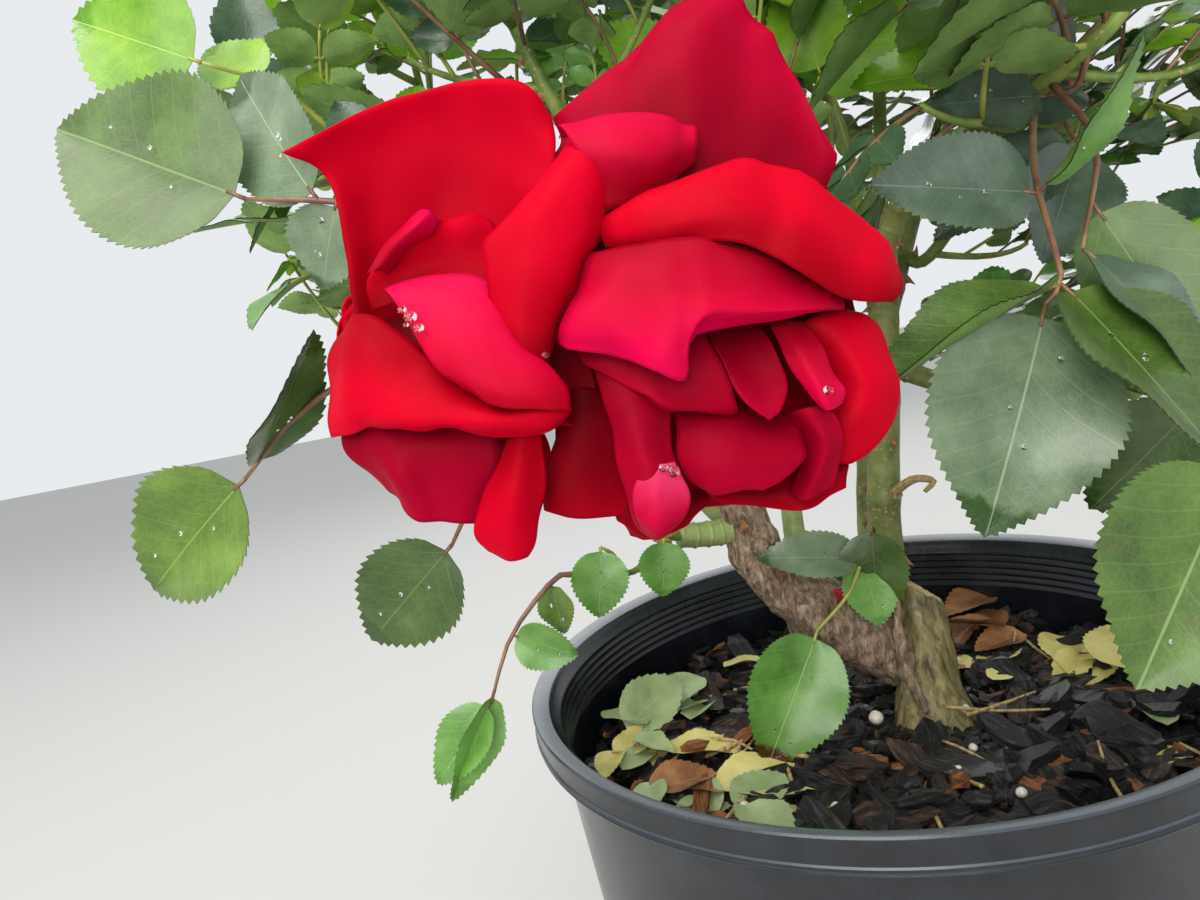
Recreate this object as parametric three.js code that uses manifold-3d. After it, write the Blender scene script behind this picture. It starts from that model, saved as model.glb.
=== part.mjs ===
// A rose bush in a round black nursery pot, with two crimson double blooms side by side.
// Millimetres, +Z up. The origin is the middle of the pot's flat underside, and the photograph looks along +Y.
import * as THREE from 'three';
import { mergeVertices } from 'three/addons/utils/BufferGeometryUtils.js';
import Module from 'manifold-3d';

const wasm = await Module();
wasm.setup();

// Driving dimensions of the pot
const potHeight = 225;
const rimRadius = 125;
const lipInner = 118.4;
const bandHeight = 9;
const wallTop = 117.8;
const wallFoot = 103;
const wallThick = 1.9;
const floorThick = 3.2;
const footRound = 4;
const roundSides = 32;
const drainHoles = 8;
const drainWide = 17;
const drainHigh = 9;
// Driving dimensions of the raised lug on the rim
const lugFrom = -60;
const lugTo = 16;
const lugRadius = 129;
const lugDown = 13;
const lugUp = 3;
// Driving dimensions of the potting mix
const mulchLevel = 187;
const mulchBump = 3.2;
const mulchRings = 5;
const padRadius = 38;
// Driving dimensions of the plant
const clear = 0.3;
const crownMiddle = [5, 30, 430];
const crownReach = { left: 222, right: 225, front: 150, back: 190, up: 216, down: 190 };
const skirtFront = 292;
const skirtBack = 240;
const leafLength = 88;
const terminalLength = 64;
const bladeThick = 1.2;
const ribWide = 1.2;
const leafletGap = 1.6;
const rootHalf = 0.06;
const petioleAngle = 44;
const internode = 52;
const goldenTurn = 137.5;
const spaceGap = 1.5;
const limbGap = 2.6;
const petalThick = 1.5;
const stemRadius = 3.2;
const stemBare = 18;
const stemRoom = 8;
const twigSpacing = 90;
const twigLength = 74;
const twigBare = 26;
const twigRadii = [1.9, 1.6, 1.2];
const stemTaper = [1, 0.85, 0.62, 0.4];
const attempts = 13;
const attemptTurn = 51;
const attemptLoss = 0.06;
const cutSlant = 38;
const cutLevel = 232;
const bloomLean = 10.9;
const bloomNod = 7.3;
const bloomKeep = 74;

// Leaflets of a compound leaf: how far along its rib, splay from the rib, length and width as parts
const leafletPlan = [
  [1, 0, 1, 0.78],
  [0.72, 60, 0.84, 0.64], [0.72, -60, 0.84, 0.64],
  [0.42, 66, 0.72, 0.64], [0.42, -66, 0.72, 0.64],
];

const V = (p) => new THREE.Vector3(...p);
const radians = THREE.MathUtils.degToRad;
const up = new THREE.Vector3(0, 0, 1);
const bloomMiddle = V([-78, -125, 354]);

// Seeded numbers from 0 to 1, the same on every run
function dice(seed) {
  let state = seed >>> 0;
  return () => {
    state = (state + 0x6d2b79f5) >>> 0;
    let t = state;
    t = Math.imul(t ^ (t >>> 15), t | 1);
    t ^= t + Math.imul(t ^ (t >>> 7), t | 61);
    return ((t ^ (t >>> 14)) >>> 0) / 4294967296;
  };
}

// Solids and their joins
function solid(geometry) {
  const bare = geometry.index ? geometry.toNonIndexed() : geometry.clone();
  for (const name of Object.keys(bare.attributes)) {
    if (name !== 'position') bare.deleteAttribute(name);
  }
  const merged = mergeVertices(bare, 1e-4);
  const index = merged.index.array;
  const kept = [];
  for (let i = 0; i < index.length; i += 3) {
    const [a, b, c] = [index[i], index[i + 1], index[i + 2]];
    if (a !== b && b !== c && c !== a) kept.push(a, b, c);
  }
  const build = (tris) => new wasm.Manifold(new wasm.Mesh({
    numProp: 3,
    vertProperties: merged.attributes.position.array,
    triVerts: new Uint32Array(tris),
  }));
  const made = build(kept);
  if (made.volume() > 0) return made;
  const turned = [];
  for (let i = 0; i < kept.length; i += 3) turned.push(kept[i], kept[i + 2], kept[i + 1]);
  return build(turned);
}

function largest(body) {
  const pieces = body.decompose();
  return pieces.reduce((a, b) => (b.volume() > a.volume() ? b : a));
}

function joined(bodies) {
  let row = bodies;
  while (row.length > 1) {
    const next = [];
    for (let i = 0; i < row.length; i += 2) {
      next.push(i + 1 < row.length ? row[i].add(row[i + 1]) : row[i]);
    }
    row = next;
  }
  return row[0];
}

function node(name, body, look) {
  const mesh = body.getMesh();
  const geometry = new THREE.BufferGeometry();
  const points = new Float32Array(mesh.numVert * 3);
  for (let i = 0; i < mesh.numVert; i++) {
    for (let k = 0; k < 3; k++) points[3 * i + k] = mesh.vertProperties[mesh.numProp * i + k];
  }
  geometry.setAttribute('position', new THREE.BufferAttribute(points, 3));
  geometry.setIndex(new THREE.BufferAttribute(new Uint32Array(mesh.triVerts), 1));
  geometry.computeVertexNormals();
  const piece = new THREE.Mesh(geometry, new THREE.MeshStandardMaterial(look));
  piece.name = name;
  return piece;
}

// Directions across a stem: turn 0 to 360 degrees round its tangent, counted from near a guide
function across(tangent, degrees, guide = guideFor(tangent)) {
  const u = guide.clone().addScaledVector(tangent, -guide.dot(tangent)).normalize();
  const v = tangent.clone().cross(u);
  const a = radians(degrees);
  return u.multiplyScalar(Math.cos(a)).addScaledVector(v, Math.sin(a));
}

function guideFor(direction) {
  const mostlyAlong = Math.abs(direction.y) > 0.75 * direction.length();
  return mostlyAlong ? new THREE.Vector3(1, 0.1, 0.2) : new THREE.Vector3(0.2, 1, 0.1);
}

const smooth = (points) => new THREE.CatmullRomCurve3(points, false, 'catmullrom', 0.5);

const even = (count) => Array.from({ length: count + 1 }, (_, i) => i / count);

// One limb: a tapering cylinder bent along its curve, with a ring at each stop, radii spread along it and an
// optional roughness
function limb(path, radii, sides, stops, extra = 0, rough = 0, seed = 1) {
  const rings = stops.length - 1;
  const tube = new THREE.CylinderGeometry(1, 1, 1, sides, rings);
  const p = tube.attributes.position;
  const guide = guideFor(path.getPoint(1).sub(path.getPoint(0)));
  const roll = dice(seed);
  const bumps = Array.from({ length: sides * (rings + 1) }, () => 1 + rough * (roll() - 0.5));
  for (let i = 0; i < p.count; i++) {
    const ring = Math.round((p.getY(i) + 0.5) * rings);
    const t = stops[ring];
    const wide = Math.hypot(p.getX(i), p.getZ(i));
    const turn = (THREE.MathUtils.radToDeg(Math.atan2(p.getZ(i), p.getX(i))) + 360) % 360;
    const at = t * (radii.length - 1);
    const low = Math.min(radii.length - 2, Math.floor(at));
    const r = THREE.MathUtils.lerp(radii[low], radii[low + 1], at - low) + extra;
    const side = Math.round((turn / 360) * sides) % sides;
    const bump = bumps[ring * sides + side];
    const middle = path.getPoint(t);
    const tangent = path.getTangent(t);
    middle.addScaledVector(across(tangent, turn, guide), wide * r * (wide > 0.5 ? bump : 1));
    p.setXYZ(i, middle.x, middle.y, middle.z);
  }
  return solid(tube);
}

// The pot: a turned wall with a flanged rim, a raised lug at the right, and drain holes round the foot
const wallAt = (z) => wallFoot + ((wallTop - wallFoot) * z) / (potHeight - bandHeight);

function pot() {
  const top = potHeight;
  const profile = [
    [0, 0], [wallFoot - footRound, 0], [wallAt(footRound), footRound], [wallAt(top - 12), top - 12],
    [rimRadius - 0.8, top - bandHeight], [rimRadius, top - bandHeight + 1], [rimRadius, top - 1],
    [rimRadius - 0.8, top], [lipInner + 0.8, top - 0.5], [lipInner, top - 1.8],
    [wallAt(top - 16) - wallThick, top - 16], [wallAt(floorThick + 3) - wallThick, floorThick + 3],
    [wallFoot - wallThick - 3, floorThick], [0, floorThick],
  ];
  const shell = new THREE.LatheGeometry(profile.map(([r, z]) => new THREE.Vector2(r, z)), roundSides);
  let body = solid(shell.rotateX(Math.PI / 2));

  const plan = new THREE.Shape();
  plan.absarc(0, 0, lugRadius, radians(lugFrom), radians(lugTo), false);
  plan.absarc(0, 0, lipInner + 0.9, radians(lugTo), radians(lugFrom), true);
  const lug = new THREE.ExtrudeGeometry(plan, { depth: lugDown + lugUp, bevelEnabled: false, curveSegments: 9 });
  body = body.add(solid(lug.translate(0, 0, top - lugDown)));

  for (let i = 0; i < drainHoles; i++) {
    const hole = new THREE.BoxGeometry(26, drainWide, drainHigh * 2);
    hole.translate(wallFoot, 0, 0).rotateZ(((i + 0.5) * 2 * Math.PI) / drainHoles);
    body = body.subtract(solid(hole));
  }
  return largest(body);
}

// The potting mix fills the pot 0.3 mm clear of it, with a lumpy top and a level pad under the stump
const stumpFoot = [19, 8];

function lump(x, y) {
  const wave = Math.sin(x * 0.11 + 1.3) * Math.cos(y * 0.13) + 0.7 * Math.sin(x * 0.23 - y * 0.19);
  const away = Math.hypot(x - stumpFoot[0], y - stumpFoot[1]) - padRadius;
  return away < 0 ? 0 : mulchBump * wave * Math.min(1, away / padRadius);
}

function pottingMix() {
  const profile = [[0, floorThick + clear], [wallFoot - wallThick - 4, floorThick + clear]];
  profile.push([wallAt(floorThick + 4) - wallThick - clear * 1.5, floorThick + 4]);
  const edge = wallAt(mulchLevel) - wallThick - clear * 1.5;
  profile.push([edge, mulchLevel]);
  for (let i = 1; i < mulchRings; i++) profile.push([edge * (1 - i / mulchRings), mulchLevel]);
  profile.push([0, mulchLevel]);
  const fill = new THREE.LatheGeometry(profile.map(([r, z]) => new THREE.Vector2(r, z)), roundSides);
  fill.rotateX(Math.PI / 2);
  const p = fill.attributes.position;
  for (let i = 0; i < p.count; i++) {
    const inside = Math.hypot(p.getX(i), p.getY(i)) < edge - 1;
    if (inside && p.getZ(i) > mulchLevel - 1) p.setZ(i, mulchLevel + lump(p.getX(i), p.getY(i)));
  }
  return solid(fill);
}

// The limbs: the limbs each springs from, its points, the radii along it, its sides and its roughness
const limbs = {
  stump: {
    from: [], sides: 12, rough: 0.16, radii: [14.2, 11, 9.8, 8.4, 7],
    points: [[19.2, 6, mulchLevel - 8], [20.6, 12, 199], [22, 15, 212], [24.4, 20, 228], [26.5, 24, 242]],
  },
  old_bough: {
    from: ['stump'], sides: 12, rough: 0.2, radii: [11.5, 13.2, 12.4, 9, 9.6, 8.6],
    points: [[16, 17, 205], [-3, 19, 220], [-15, 18, 231], [-26, 19, 243], [-33, 20, 256], [-36, 20, 278]],
  },
  green_stub: {
    from: ['old_bough'], sides: 8, rough: 0, radii: [5, 4.8, 4.4],
    points: [[-38, 20, 267], [-48, 18, 267.5], [-61, 14, 270]],
  },
  main_cane: {
    from: ['stump', 'old_bough'], sides: 8, rough: 0, radii: [7.2, 6.6, 6.3, 6.1, 5.9, 5.4],
    points: [[14, 26, 208], [20, 36, 236], [23, 38, 263], [30, 41, 302], [36, 43, 340], [41, 46, 372]],
  },
  right_cane: {
    from: ['main_cane'], sides: 7, rough: 0, radii: [4.8, 4.4, 4.1],
    points: [[39, 45, 360], [47, 30, 377], [60, -6, 390]],
  },
  low_right_cane: {
    from: ['main_cane'], sides: 7, rough: 0, radii: [4, 3.7, 3.4],
    points: [[32, 42, 316], [48, 18, 306], [68, -20, 303]],
  },
  left_cane: {
    from: ['old_bough'], sides: 8, rough: 0, radii: [6, 5.3, 4.9, 4.4],
    points: [[-36, 20.5, 272], [-41, 22, 309], [-52, 18, 356], [-66, 8, 398]],
  },
  back_cane: {
    from: ['old_bough'], sides: 7, rough: 0, radii: [5, 4.2, 4, 3.8],
    points: [[-14, 22, 234], [-13, 43, 260], [-2, 66, 306], [7, 90, 348]],
  },
  right_back_cane: {
    from: ['stump', 'old_bough', 'main_cane'], sides: 7, rough: 0, radii: [4.6, 4.4, 4.1, 3.9, 3.6],
    points: [[14, 28, 214], [22, 62, 246], [40, 92, 292], [62, 108, 335], [82, 118, 375]],
  },
  left_back_cane: {
    from: ['old_bough', 'left_cane', 'green_stub'], sides: 7, rough: 0, radii: [4.8, 4.3, 4, 3.7],
    points: [[-36, 22, 262], [-62, 55, 300], [-88, 82, 343], [-105, 95, 380]],
  },
};

function limbSolid(name, extra = 0) {
  const { points, radii, sides, rough } = limbs[name];
  return limb(smooth(points.map(V)), radii, sides, even((points.length - 1) * 2), extra, rough, sides);
}

// A limb is cut 0.3 mm clear of the limbs it springs from
function bough(name) {
  let body = limbSolid(name);
  for (const parent of limbs[name].from) body = body.subtract(limbSolid(parent, clear));
  return largest(body);
}

// The stump is cut level at the mulch, and ends in a slanting saw cut that leaves its left side higher
function stump() {
  const top = new THREE.BoxGeometry(60, 60, 30).translate(0, 0, 15);
  top.rotateY(radians(cutSlant)).translate(24, 22, cutLevel);
  const under = new THREE.BoxGeometry(60, 60, 30).translate(...stumpFoot, mulchLevel + clear - 15);
  return largest(limbSolid('stump').subtract(solid(top)).subtract(solid(under)));
}

// The masses of foliage: the limb each springs from, how far along it, a seed and its stem's points after that.
// A stem that starts at 1 carries on from the limb's tip.
const masses = {
  top_spray: { on: 'main_cane', at: 1, seed: 11, points: [[50, 50, 430], [55, 46, 500], [53, 40, 576]] },
  top_back_spray: {
    on: 'main_cane', at: 0.9, seed: 12, points: [[42, 78, 410], [40, 108, 462], [36, 124, 512]],
  },
  top_left_spray: {
    on: 'left_cane', at: 1, seed: 13, points: [[-79, -1, 430], [-90, -4, 470], [-98, -4, 528]],
  },
  top_middle_spray: {
    on: 'main_cane', at: 0.84, seed: 14, points: [[16, 34, 404], [-8, 28, 468], [-22, 22, 546]],
  },
  right_front_spray: {
    on: 'right_cane', at: 1, seed: 15,
    points: [[71, -40, 399], [84, -52, 412], [100, -56, 446], [108, -54, 492]],
  },
  right_top_spray: {
    on: 'right_cane', at: 0.7, seed: 16, points: [[84, 16, 412], [108, 20, 460], [118, 18, 522]],
  },
  right_back_spray: {
    on: 'right_back_cane', at: 1, seed: 17, points: [[106, 128, 410], [122, 132, 455], [126, 130, 502]],
  },
  right_spray: {
    on: 'right_back_cane', at: 0.88, seed: 18, points: [[104, 98, 376], [136, 76, 394], [158, 60, 420]],
  },
  right_low_spray: {
    on: 'right_back_cane', at: 0.6, seed: 19, points: [[84, 94, 318], [118, 94, 322], [146, 88, 336]],
  },
  front_right_spray: {
    on: 'low_right_cane', at: 1, seed: 20,
    points: [[80, -52, 314], [90, -84, 320], [92, -108, 314], [84, -124, 300]],
  },
  right_side_spray: {
    on: 'low_right_cane', at: 0.8, seed: 21, points: [[96, -4, 322], [126, -12, 338], [152, -18, 362]],
  },
  bloom_truss: {
    on: 'left_cane', at: 0.88, seed: 22, few: true,
    points: [[-66, -18, 386], [-74, -48, 382], [-80, -76, 370]],
  },
  front_left_spray: {
    on: 'left_cane', at: 0.78, seed: 23, points: [[-92, 10, 386], [-124, 0, 402], [-150, -8, 428]],
  },
  left_back_spray: {
    on: 'left_back_cane', at: 1, seed: 24,
    points: [[-122, 108, 420], [-132, 114, 465], [-134, 114, 512]],
  },
  left_spray: {
    on: 'left_back_cane', at: 0.86, seed: 25, points: [[-126, 78, 364], [-150, 62, 380], [-164, 52, 402]],
  },
  left_low_spray: {
    on: 'left_back_cane', at: 0.5, seed: 26,
    points: [[-100, 56, 316], [-126, 46, 320], [-148, 36, 332]],
  },
  back_spray: { on: 'back_cane', at: 1, seed: 27, points: [[8, 122, 386], [4, 146, 420], [0, 154, 464]] },
  back_low_spray: {
    on: 'back_cane', at: 0.66, seed: 28, points: [[-12, 104, 312], [-20, 134, 318], [-26, 156, 332]],
  },
  back_left_spray: {
    on: 'back_cane', at: 0.9, seed: 29,
    points: [[-26, 102, 380], [-48, 106, 430], [-56, 104, 490], [-58, 100, 546]],
  },
  low_leaf: {
    on: 'main_cane', at: 0.24, seed: 30, few: true, thick: 1.6, points: [[14, 26, 248], [10, 22, 250]],
  },
  hanging_sprig: {
    on: 'green_stub', at: 1, seed: 31, few: true, thick: 1.9,
    points: [[-68, 8, 269], [-74, 3, 265.5], [-86, -4, 264], [-99, -9, 268]],
  },
};

// Leaves that show in the photograph: where each leaves its stem, its path from there and its leaflets,
// given as [how far along the path, tip, width, how far the blade is turned from facing the front]
const shown = {
  bloom_truss: [
    {
      from: 0.5, path: [[-108, -82, 383], [-133, -94, 389], [-154, -90, 394]],
      leaflets: [
        [1, [-196, -88, 421], 42, 10], [0.72, [-158, -78, 428], 26, -25], [0.66, [-143, -92, 371], 22, 20],
      ],
    },
    {
      from: 0.7, path: [[-116, -88, 358], [-150, -95, 344], [-169, -92, 330]],
      leaflets: [[1, [-205, -89, 306], 31, 5], [0.95, [-138, -108, 357], 20, 80]],
    },
    {
      from: 0.88, path: [[-104, -84, 338], [-118, -78, 314], [-127, -75, 301]],
      leaflets: [[1, [-157, -74, 277], 28, 0]],
    },
  ],
  right_front_spray: [
    {
      from: 0.16, path: [[52, -50, 378], [39, -74, 362], [33, -91, 341], [26, -95, 335]],
      leaflets: [
        [1, [2, -109, 286], 45, 5], [0.5, [-4, -82, 373], 26, 15], [0.5, [63, -92, 388], 24, 65],
        [0.8, [-23, -109, 331], 26, 50], [0.8, [46, -126, 303], 34, -25],
      ],
    },
    { from: 0.3, path: [[72, -40, 392], [66, -34, 392]], leaflets: [[1, [32, -36, 398], 26, 30]] },
  ],
  front_right_spray: [
    {
      from: 0.9, path: [[70, -130, 306], [54, -132, 304], [42, -130, 298]],
      leaflets: [[1, [12, -142, 260], 44, 5], [0.62, [30, -122, 250], 30, 30]],
    },
  ],
  low_leaf: [
    {
      from: 0.9, path: [[3, 9, 250], [-6, 2, 240], [-20, -3, 231]],
      leaflets: [[1, [-48, -22, 193], 34, 5], [0.34, [-33, 0, 262], 18, 30], [0.34, [2, -5, 229], 20, 0]],
    },
  ],
  hanging_sprig: [
    {
      from: 1, path: [[-105, -13, 271], [-115, -18, 265], [-126, -23, 254], [-134, -29, 238]],
      leaflets: [
        [1, [-158, -34, 216], 18, 20], [0.95, [-150, -36, 208], 15, -40],
        [0.7, [-104, -26, 246], 16, 10], [0.35, [-108, -18, 252], 15, 40],
      ],
    },
    { from: 0.72, path: [[-86, -6, 272], [-90, -9, 277]], leaflets: [[1, [-95, -15, 254], 19, 0]] },
    { from: 0.3, path: [[-66, -2, 272], [-68, -6, 275]], leaflets: [[1, [-72, -9, 255], 17, 0]] },
  ],
};

// The stem of a mass: it leaves its limb at a right angle, or carries on from the limb's tip
function stemOf(name) {
  const { on, at, points } = masses[name];
  const path = smooth(limbs[on].points.map(V));
  const foot = path.getPoint(at);
  const tangent = path.getTangent(at);
  if (at === 1) {
    const lead = [foot.clone().addScaledVector(tangent, clear), foot.clone().addScaledVector(tangent, 5)];
    return smooth([...lead, ...points.map(V)]);
  }
  const out = V(points[0]).sub(foot);
  out.addScaledVector(tangent, -out.dot(tangent)).normalize();
  const lead = [foot.clone().addScaledVector(out, 2), foot.clone().addScaledVector(out, 12)];
  return smooth([...lead, ...points.map(V)]);
}

const stems = Object.fromEntries(Object.keys(masses).map((name) => [name, stemOf(name)]));

// Every mass keeps to the space nearest its own lines: its stem and the leaves that show
function distance(p, line) {
  let least = Infinity;
  for (let i = 0; i + 1 < line.length; i++) {
    const ab = line[i + 1].clone().sub(line[i]);
    const t = THREE.MathUtils.clamp(p.clone().sub(line[i]).dot(ab) / ab.lengthSq(), 0, 1);
    least = Math.min(least, line[i].clone().addScaledVector(ab, t).distanceTo(p));
  }
  return least;
}

function shownPath(name, leaf) {
  return smooth([stems[name].getPointAt(leaf.from), ...leaf.path.map(V)]);
}

const linesOf = Object.fromEntries(Object.keys(masses).map((name) => {
  const lines = [stems[name].getSpacedPoints(8)];
  for (const leaf of shown[name] || []) {
    const path = shownPath(name, leaf);
    lines.push(path.getSpacedPoints(5));
    for (const [at, tip] of leaf.leaflets) lines.push([path.getPoint(at), V(tip)]);
  }
  return [name, lines];
}));
const limbLines = Object.values(limbs).map(({ points, radii }) => {
  return { line: smooth(points.map(V)).getSpacedPoints(10), wide: Math.max(...radii) };
});

function inReach(p) {
  const [x, y, z] = [p.x - crownMiddle[0], p.y - crownMiddle[1], p.z - crownMiddle[2]];
  const across = x / (x < 0 ? crownReach.left : crownReach.right);
  const along = y / (y < 0 ? crownReach.front : crownReach.back);
  const height = z / (z < 0 ? crownReach.down : crownReach.up);
  const skirt = THREE.MathUtils.mapLinear(THREE.MathUtils.clamp(p.y, 20, 120), 20, 120, skirtFront, skirtBack);
  return across ** 2 + along ** 2 + height ** 2 < 1 && p.z > skirt;
}

function fits(name, p) {
  if (!inReach(p)) return false;
  if (name !== 'bloom_truss' && p.distanceTo(bloomMiddle) < bloomKeep) return false;
  if (limbLines.some(({ line, wide }) => distance(p, line) < wide + limbGap)) return false;
  const own = Math.min(...linesOf[name].map((line) => distance(p, line)));
  for (const [other, lines] of Object.entries(linesOf)) {
    if (other === name) continue;
    if (lines.some((line) => distance(p, line) < Math.max(own + spaceGap, stemRoom))) return false;
  }
  return true;
}

// The directions across a leaf's rib: to its side, and out of its upper face
function frameAt(path, t) {
  const along = path.getTangent(t);
  const guide = Math.abs(along.z) < 0.95 ? up : V([0.1, -1, 0]);
  const side = along.clone().cross(guide).normalize();
  return { along, side, face: side.clone().cross(along) };
}

// A leaflet's corners: root, two widest points and the bent tip, as [along, across, out of its face]
const corners = [[0, 0, 0], [0.44, 0.54, 0.03], [1, 0, -0.06], [0.44, -0.54, 0.03]];

function bladePoint({ root, along, face, length, width }, [x, y, z]) {
  const side = face.clone().cross(along);
  const p = root.clone().addScaledVector(along, x * length).addScaledVector(side, y * width);
  return p.addScaledVector(face, z * length);
}

// A compound leaf grows from its stem at the petiole angle, levels out and carries up to five leaflets
function compoundLeaf(foot, tangent, turn, size, roll) {
  const out = across(tangent, turn);
  const rise = tangent.clone().multiplyScalar(Math.cos(radians(petioleAngle)));
  rise.addScaledVector(out, Math.sin(radians(petioleAngle)));
  const level = rise.clone().multiplyScalar(0.7).addScaledVector(out, 0.5);
  level.addScaledVector(up, -0.1 - 0.35 * roll()).normalize();
  const half = (leafLength * size) / 2;
  const elbow = foot.clone().addScaledVector(rise, half);
  const path = new THREE.QuadraticBezierCurve3(foot, elbow, elbow.clone().addScaledVector(level, half));
  const leaflets = leafletPlan.map(([at, splay, part, wide]) => {
    const root = path.getPoint(at);
    const { along, face } = frameAt(path, at);
    face.applyAxisAngle(along, radians(36 * (roll() - 0.5)));
    along.applyAxisAngle(face, radians(splay + 12 * (roll() - 0.5)));
    along.addScaledVector(up, -0.2 * roll()).normalize();
    face.addScaledVector(along, -face.dot(along)).normalize();
    const length = terminalLength * size * part * (0.88 + 0.2 * roll());
    return { at, hand: -Math.sign(splay), root, along, face, length, width: length * wide };
  });
  return { path, leaflets };
}

// One compound leaf as a thin plate: its outline runs up one side of the rib, round each leaflet, and back down
function frond({ path, leaflets }) {
  const plan = [];
  const rim = [];
  const put = (x, y, p, face) => {
    plan.push(new THREE.Vector2(x, y));
    rim.push([p, face]);
  };
  const rib = (t, x, hand) => {
    const { side, face } = frameAt(path, t);
    put(x, hand, path.getPoint(t).addScaledVector(side, hand * ribWide), face);
  };
  const round = (leaflet, x, hand, order) => {
    const { along, side } = frameAt(path, leaflet.at);
    const ahead = hand === 0 ? side.clone().negate() : along;
    const wide = [corners[1], corners[3]].map((c) => bladePoint(leaflet, c));
    wide.sort((a, b) => order * (a.dot(ahead) - b.dot(ahead)));
    const edge = [wide[0], bladePoint(leaflet, corners[2]), wide[1]];
    const normal = edge[1].clone().sub(edge[0]).cross(edge[2].clone().sub(edge[0]));
    const face = leaflet.face.clone().multiplyScalar(Math.sign(normal.dot(leaflet.face)));
    const spots = hand === 0 ? [[9, 9], [20, 0], [9, -9]] : [[-3, 9], [0, 20], [3, 9]];
    edge.forEach((p, i) => {
      const [onward, away] = spots[i];
      if (hand === 0) put(x + onward, away, p, face);
      else put(x + order * onward, hand * away, p, face);
    });
  };
  const rising = (hand) => leaflets.filter((o) => o.hand === hand).sort((a, b) => a.at - b.at);
  const climb = (hand, order) => {
    const row = rising(hand).map((leaflet, i) => [leaflet, 30 + 14 * i]);
    if (order < 0) row.reverse();
    row.forEach(([leaflet, x], i) => {
      const before = leaflet.at - order * rootHalf;
      if (i === 0) rib(before, x - 5 * order, hand);
      round(leaflet, x, hand, order);
      const next = row[i + 1] && row[i + 1][0].at;
      rib(next === undefined ? leaflet.at + order * rootHalf : (leaflet.at + next) / 2, x + 7 * order, hand);
    });
  };
  rib(0, 0, 1);
  climb(1, 1);
  rib(1, 90, 1);
  for (const leaflet of rising(0)) round(leaflet, 90, 0, 1);
  rib(1, 90, -1);
  climb(-1, -1);
  rib(0, 0, -1);

  const count = rim.length;
  const points = [0.5, -0.5].flatMap((layer) => rim.flatMap(([p, face]) => {
    return p.clone().addScaledVector(face, layer * bladeThick).toArray();
  }));
  const index = [];
  for (const [i, j, k] of THREE.ShapeUtils.triangulateShape(plan, [])) {
    index.push(i, j, k, count + k, count + j, count + i);
  }
  const turning = THREE.ShapeUtils.area(plan) > 0 ? 1 : -1;
  for (let i = 0; i < count; i++) {
    const [j, k] = turning > 0 ? [i, (i + 1) % count] : [(i + 1) % count, i];
    index.push(j, count + j, k, k, count + j, count + k);
  }
  const geometry = new THREE.BufferGeometry();
  geometry.setAttribute('position', new THREE.Float32BufferAttribute(points, 3));
  return solid(geometry.setIndex(index));
}

// A leaflet is left out where it would leave its mass's space or meet a leaflet already there
const trial = [...corners, [0.5, 0, 0], [0.25, 0.3, 0], [0.25, -0.3, 0], [0.72, 0.27, 0], [0.72, -0.27, 0]];

function meets(leaflet, other) {
  const side = other.face.clone().cross(other.along);
  return trial.some((o) => {
    const away = bladePoint(leaflet, o).sub(other.root);
    const [x, y, z] = [away.dot(other.along), away.dot(side), away.dot(other.face)];
    return Math.abs(z) < leafletGap && x > 2 && x < other.length + 1 && Math.abs(y) < other.width * 0.5;
  });
}

function leafletFits(name, leaflet, grown) {
  if (!corners.slice(1).every((o) => fits(name, bladePoint(leaflet, o)))) return false;
  return grown.every((leaf) => leaf.leaflets.every((o) => !meets(leaflet, o) && !meets(o, leaflet)));
}

// Tries a leaf on a shoot, turned a little further round it at each attempt, and tells where the leaf stands
function growLeaf(name, shoot, u, turn, size, seed, grown) {
  const [foot, tangent] = [shoot.getPointAt(u), shoot.getTangentAt(u)];
  for (let attempt = 0; attempt < attempts; attempt++) {
    const part = size * (1 - attemptLoss * attempt);
    const leaf = compoundLeaf(foot, tangent, turn + attempt * attemptTurn, part, dice(seed * 10 + attempt));
    const ways = [0.4, 0.7].map((t) => leaf.path.getPoint(t));
    if (!leafletFits(name, leaf.leaflets[0], grown) || !ways.every((p) => fits(name, p))) continue;
    leaf.leaflets = leaf.leaflets.filter((o) => leafletFits(name, o, grown));
    grown.push(leaf);
    return [u];
  }
  return [];
}

function growShoot(name, shoot, seed, start, grown) {
  const length = shoot.getLength();
  const count = Math.max(1, Math.floor((length - start) / internode));
  const feet = [];
  for (let i = 0; i <= count; i++) {
    const u = Math.min(0.985, (start + (i * (length - start)) / count) / length);
    feet.push(...growLeaf(name, shoot, u, seed * 50 + i * goldenTurn, 1 - 0.3 * u * u, seed * 40 + i, grown));
  }
  return feet;
}

// A side twig leaves the stem at a wide angle and lifts towards its end
function growTwig(name, u, seed) {
  const stem = stems[name];
  const [foot, tangent] = [stem.getPointAt(u), stem.getTangentAt(u)];
  for (let attempt = 0; attempt < attempts; attempt++) {
    const roll = dice(seed + attempt);
    const out = across(tangent, 360 * roll());
    const reach = twigLength * (0.8 + 0.4 * roll()) * (1 - 0.3 * u);
    const elbow = foot.clone().addScaledVector(out, reach * 0.5).addScaledVector(tangent, reach * 0.25);
    const end = elbow.clone().addScaledVector(out, reach * 0.3).addScaledVector(up, reach * 0.3);
    const path = new THREE.QuadraticBezierCurve3(foot, elbow, end);
    if ([0.35, 0.7, 1].every((t) => fits(name, path.getPoint(t)))) return [{ path, at: u }];
  }
  return [];
}

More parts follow.
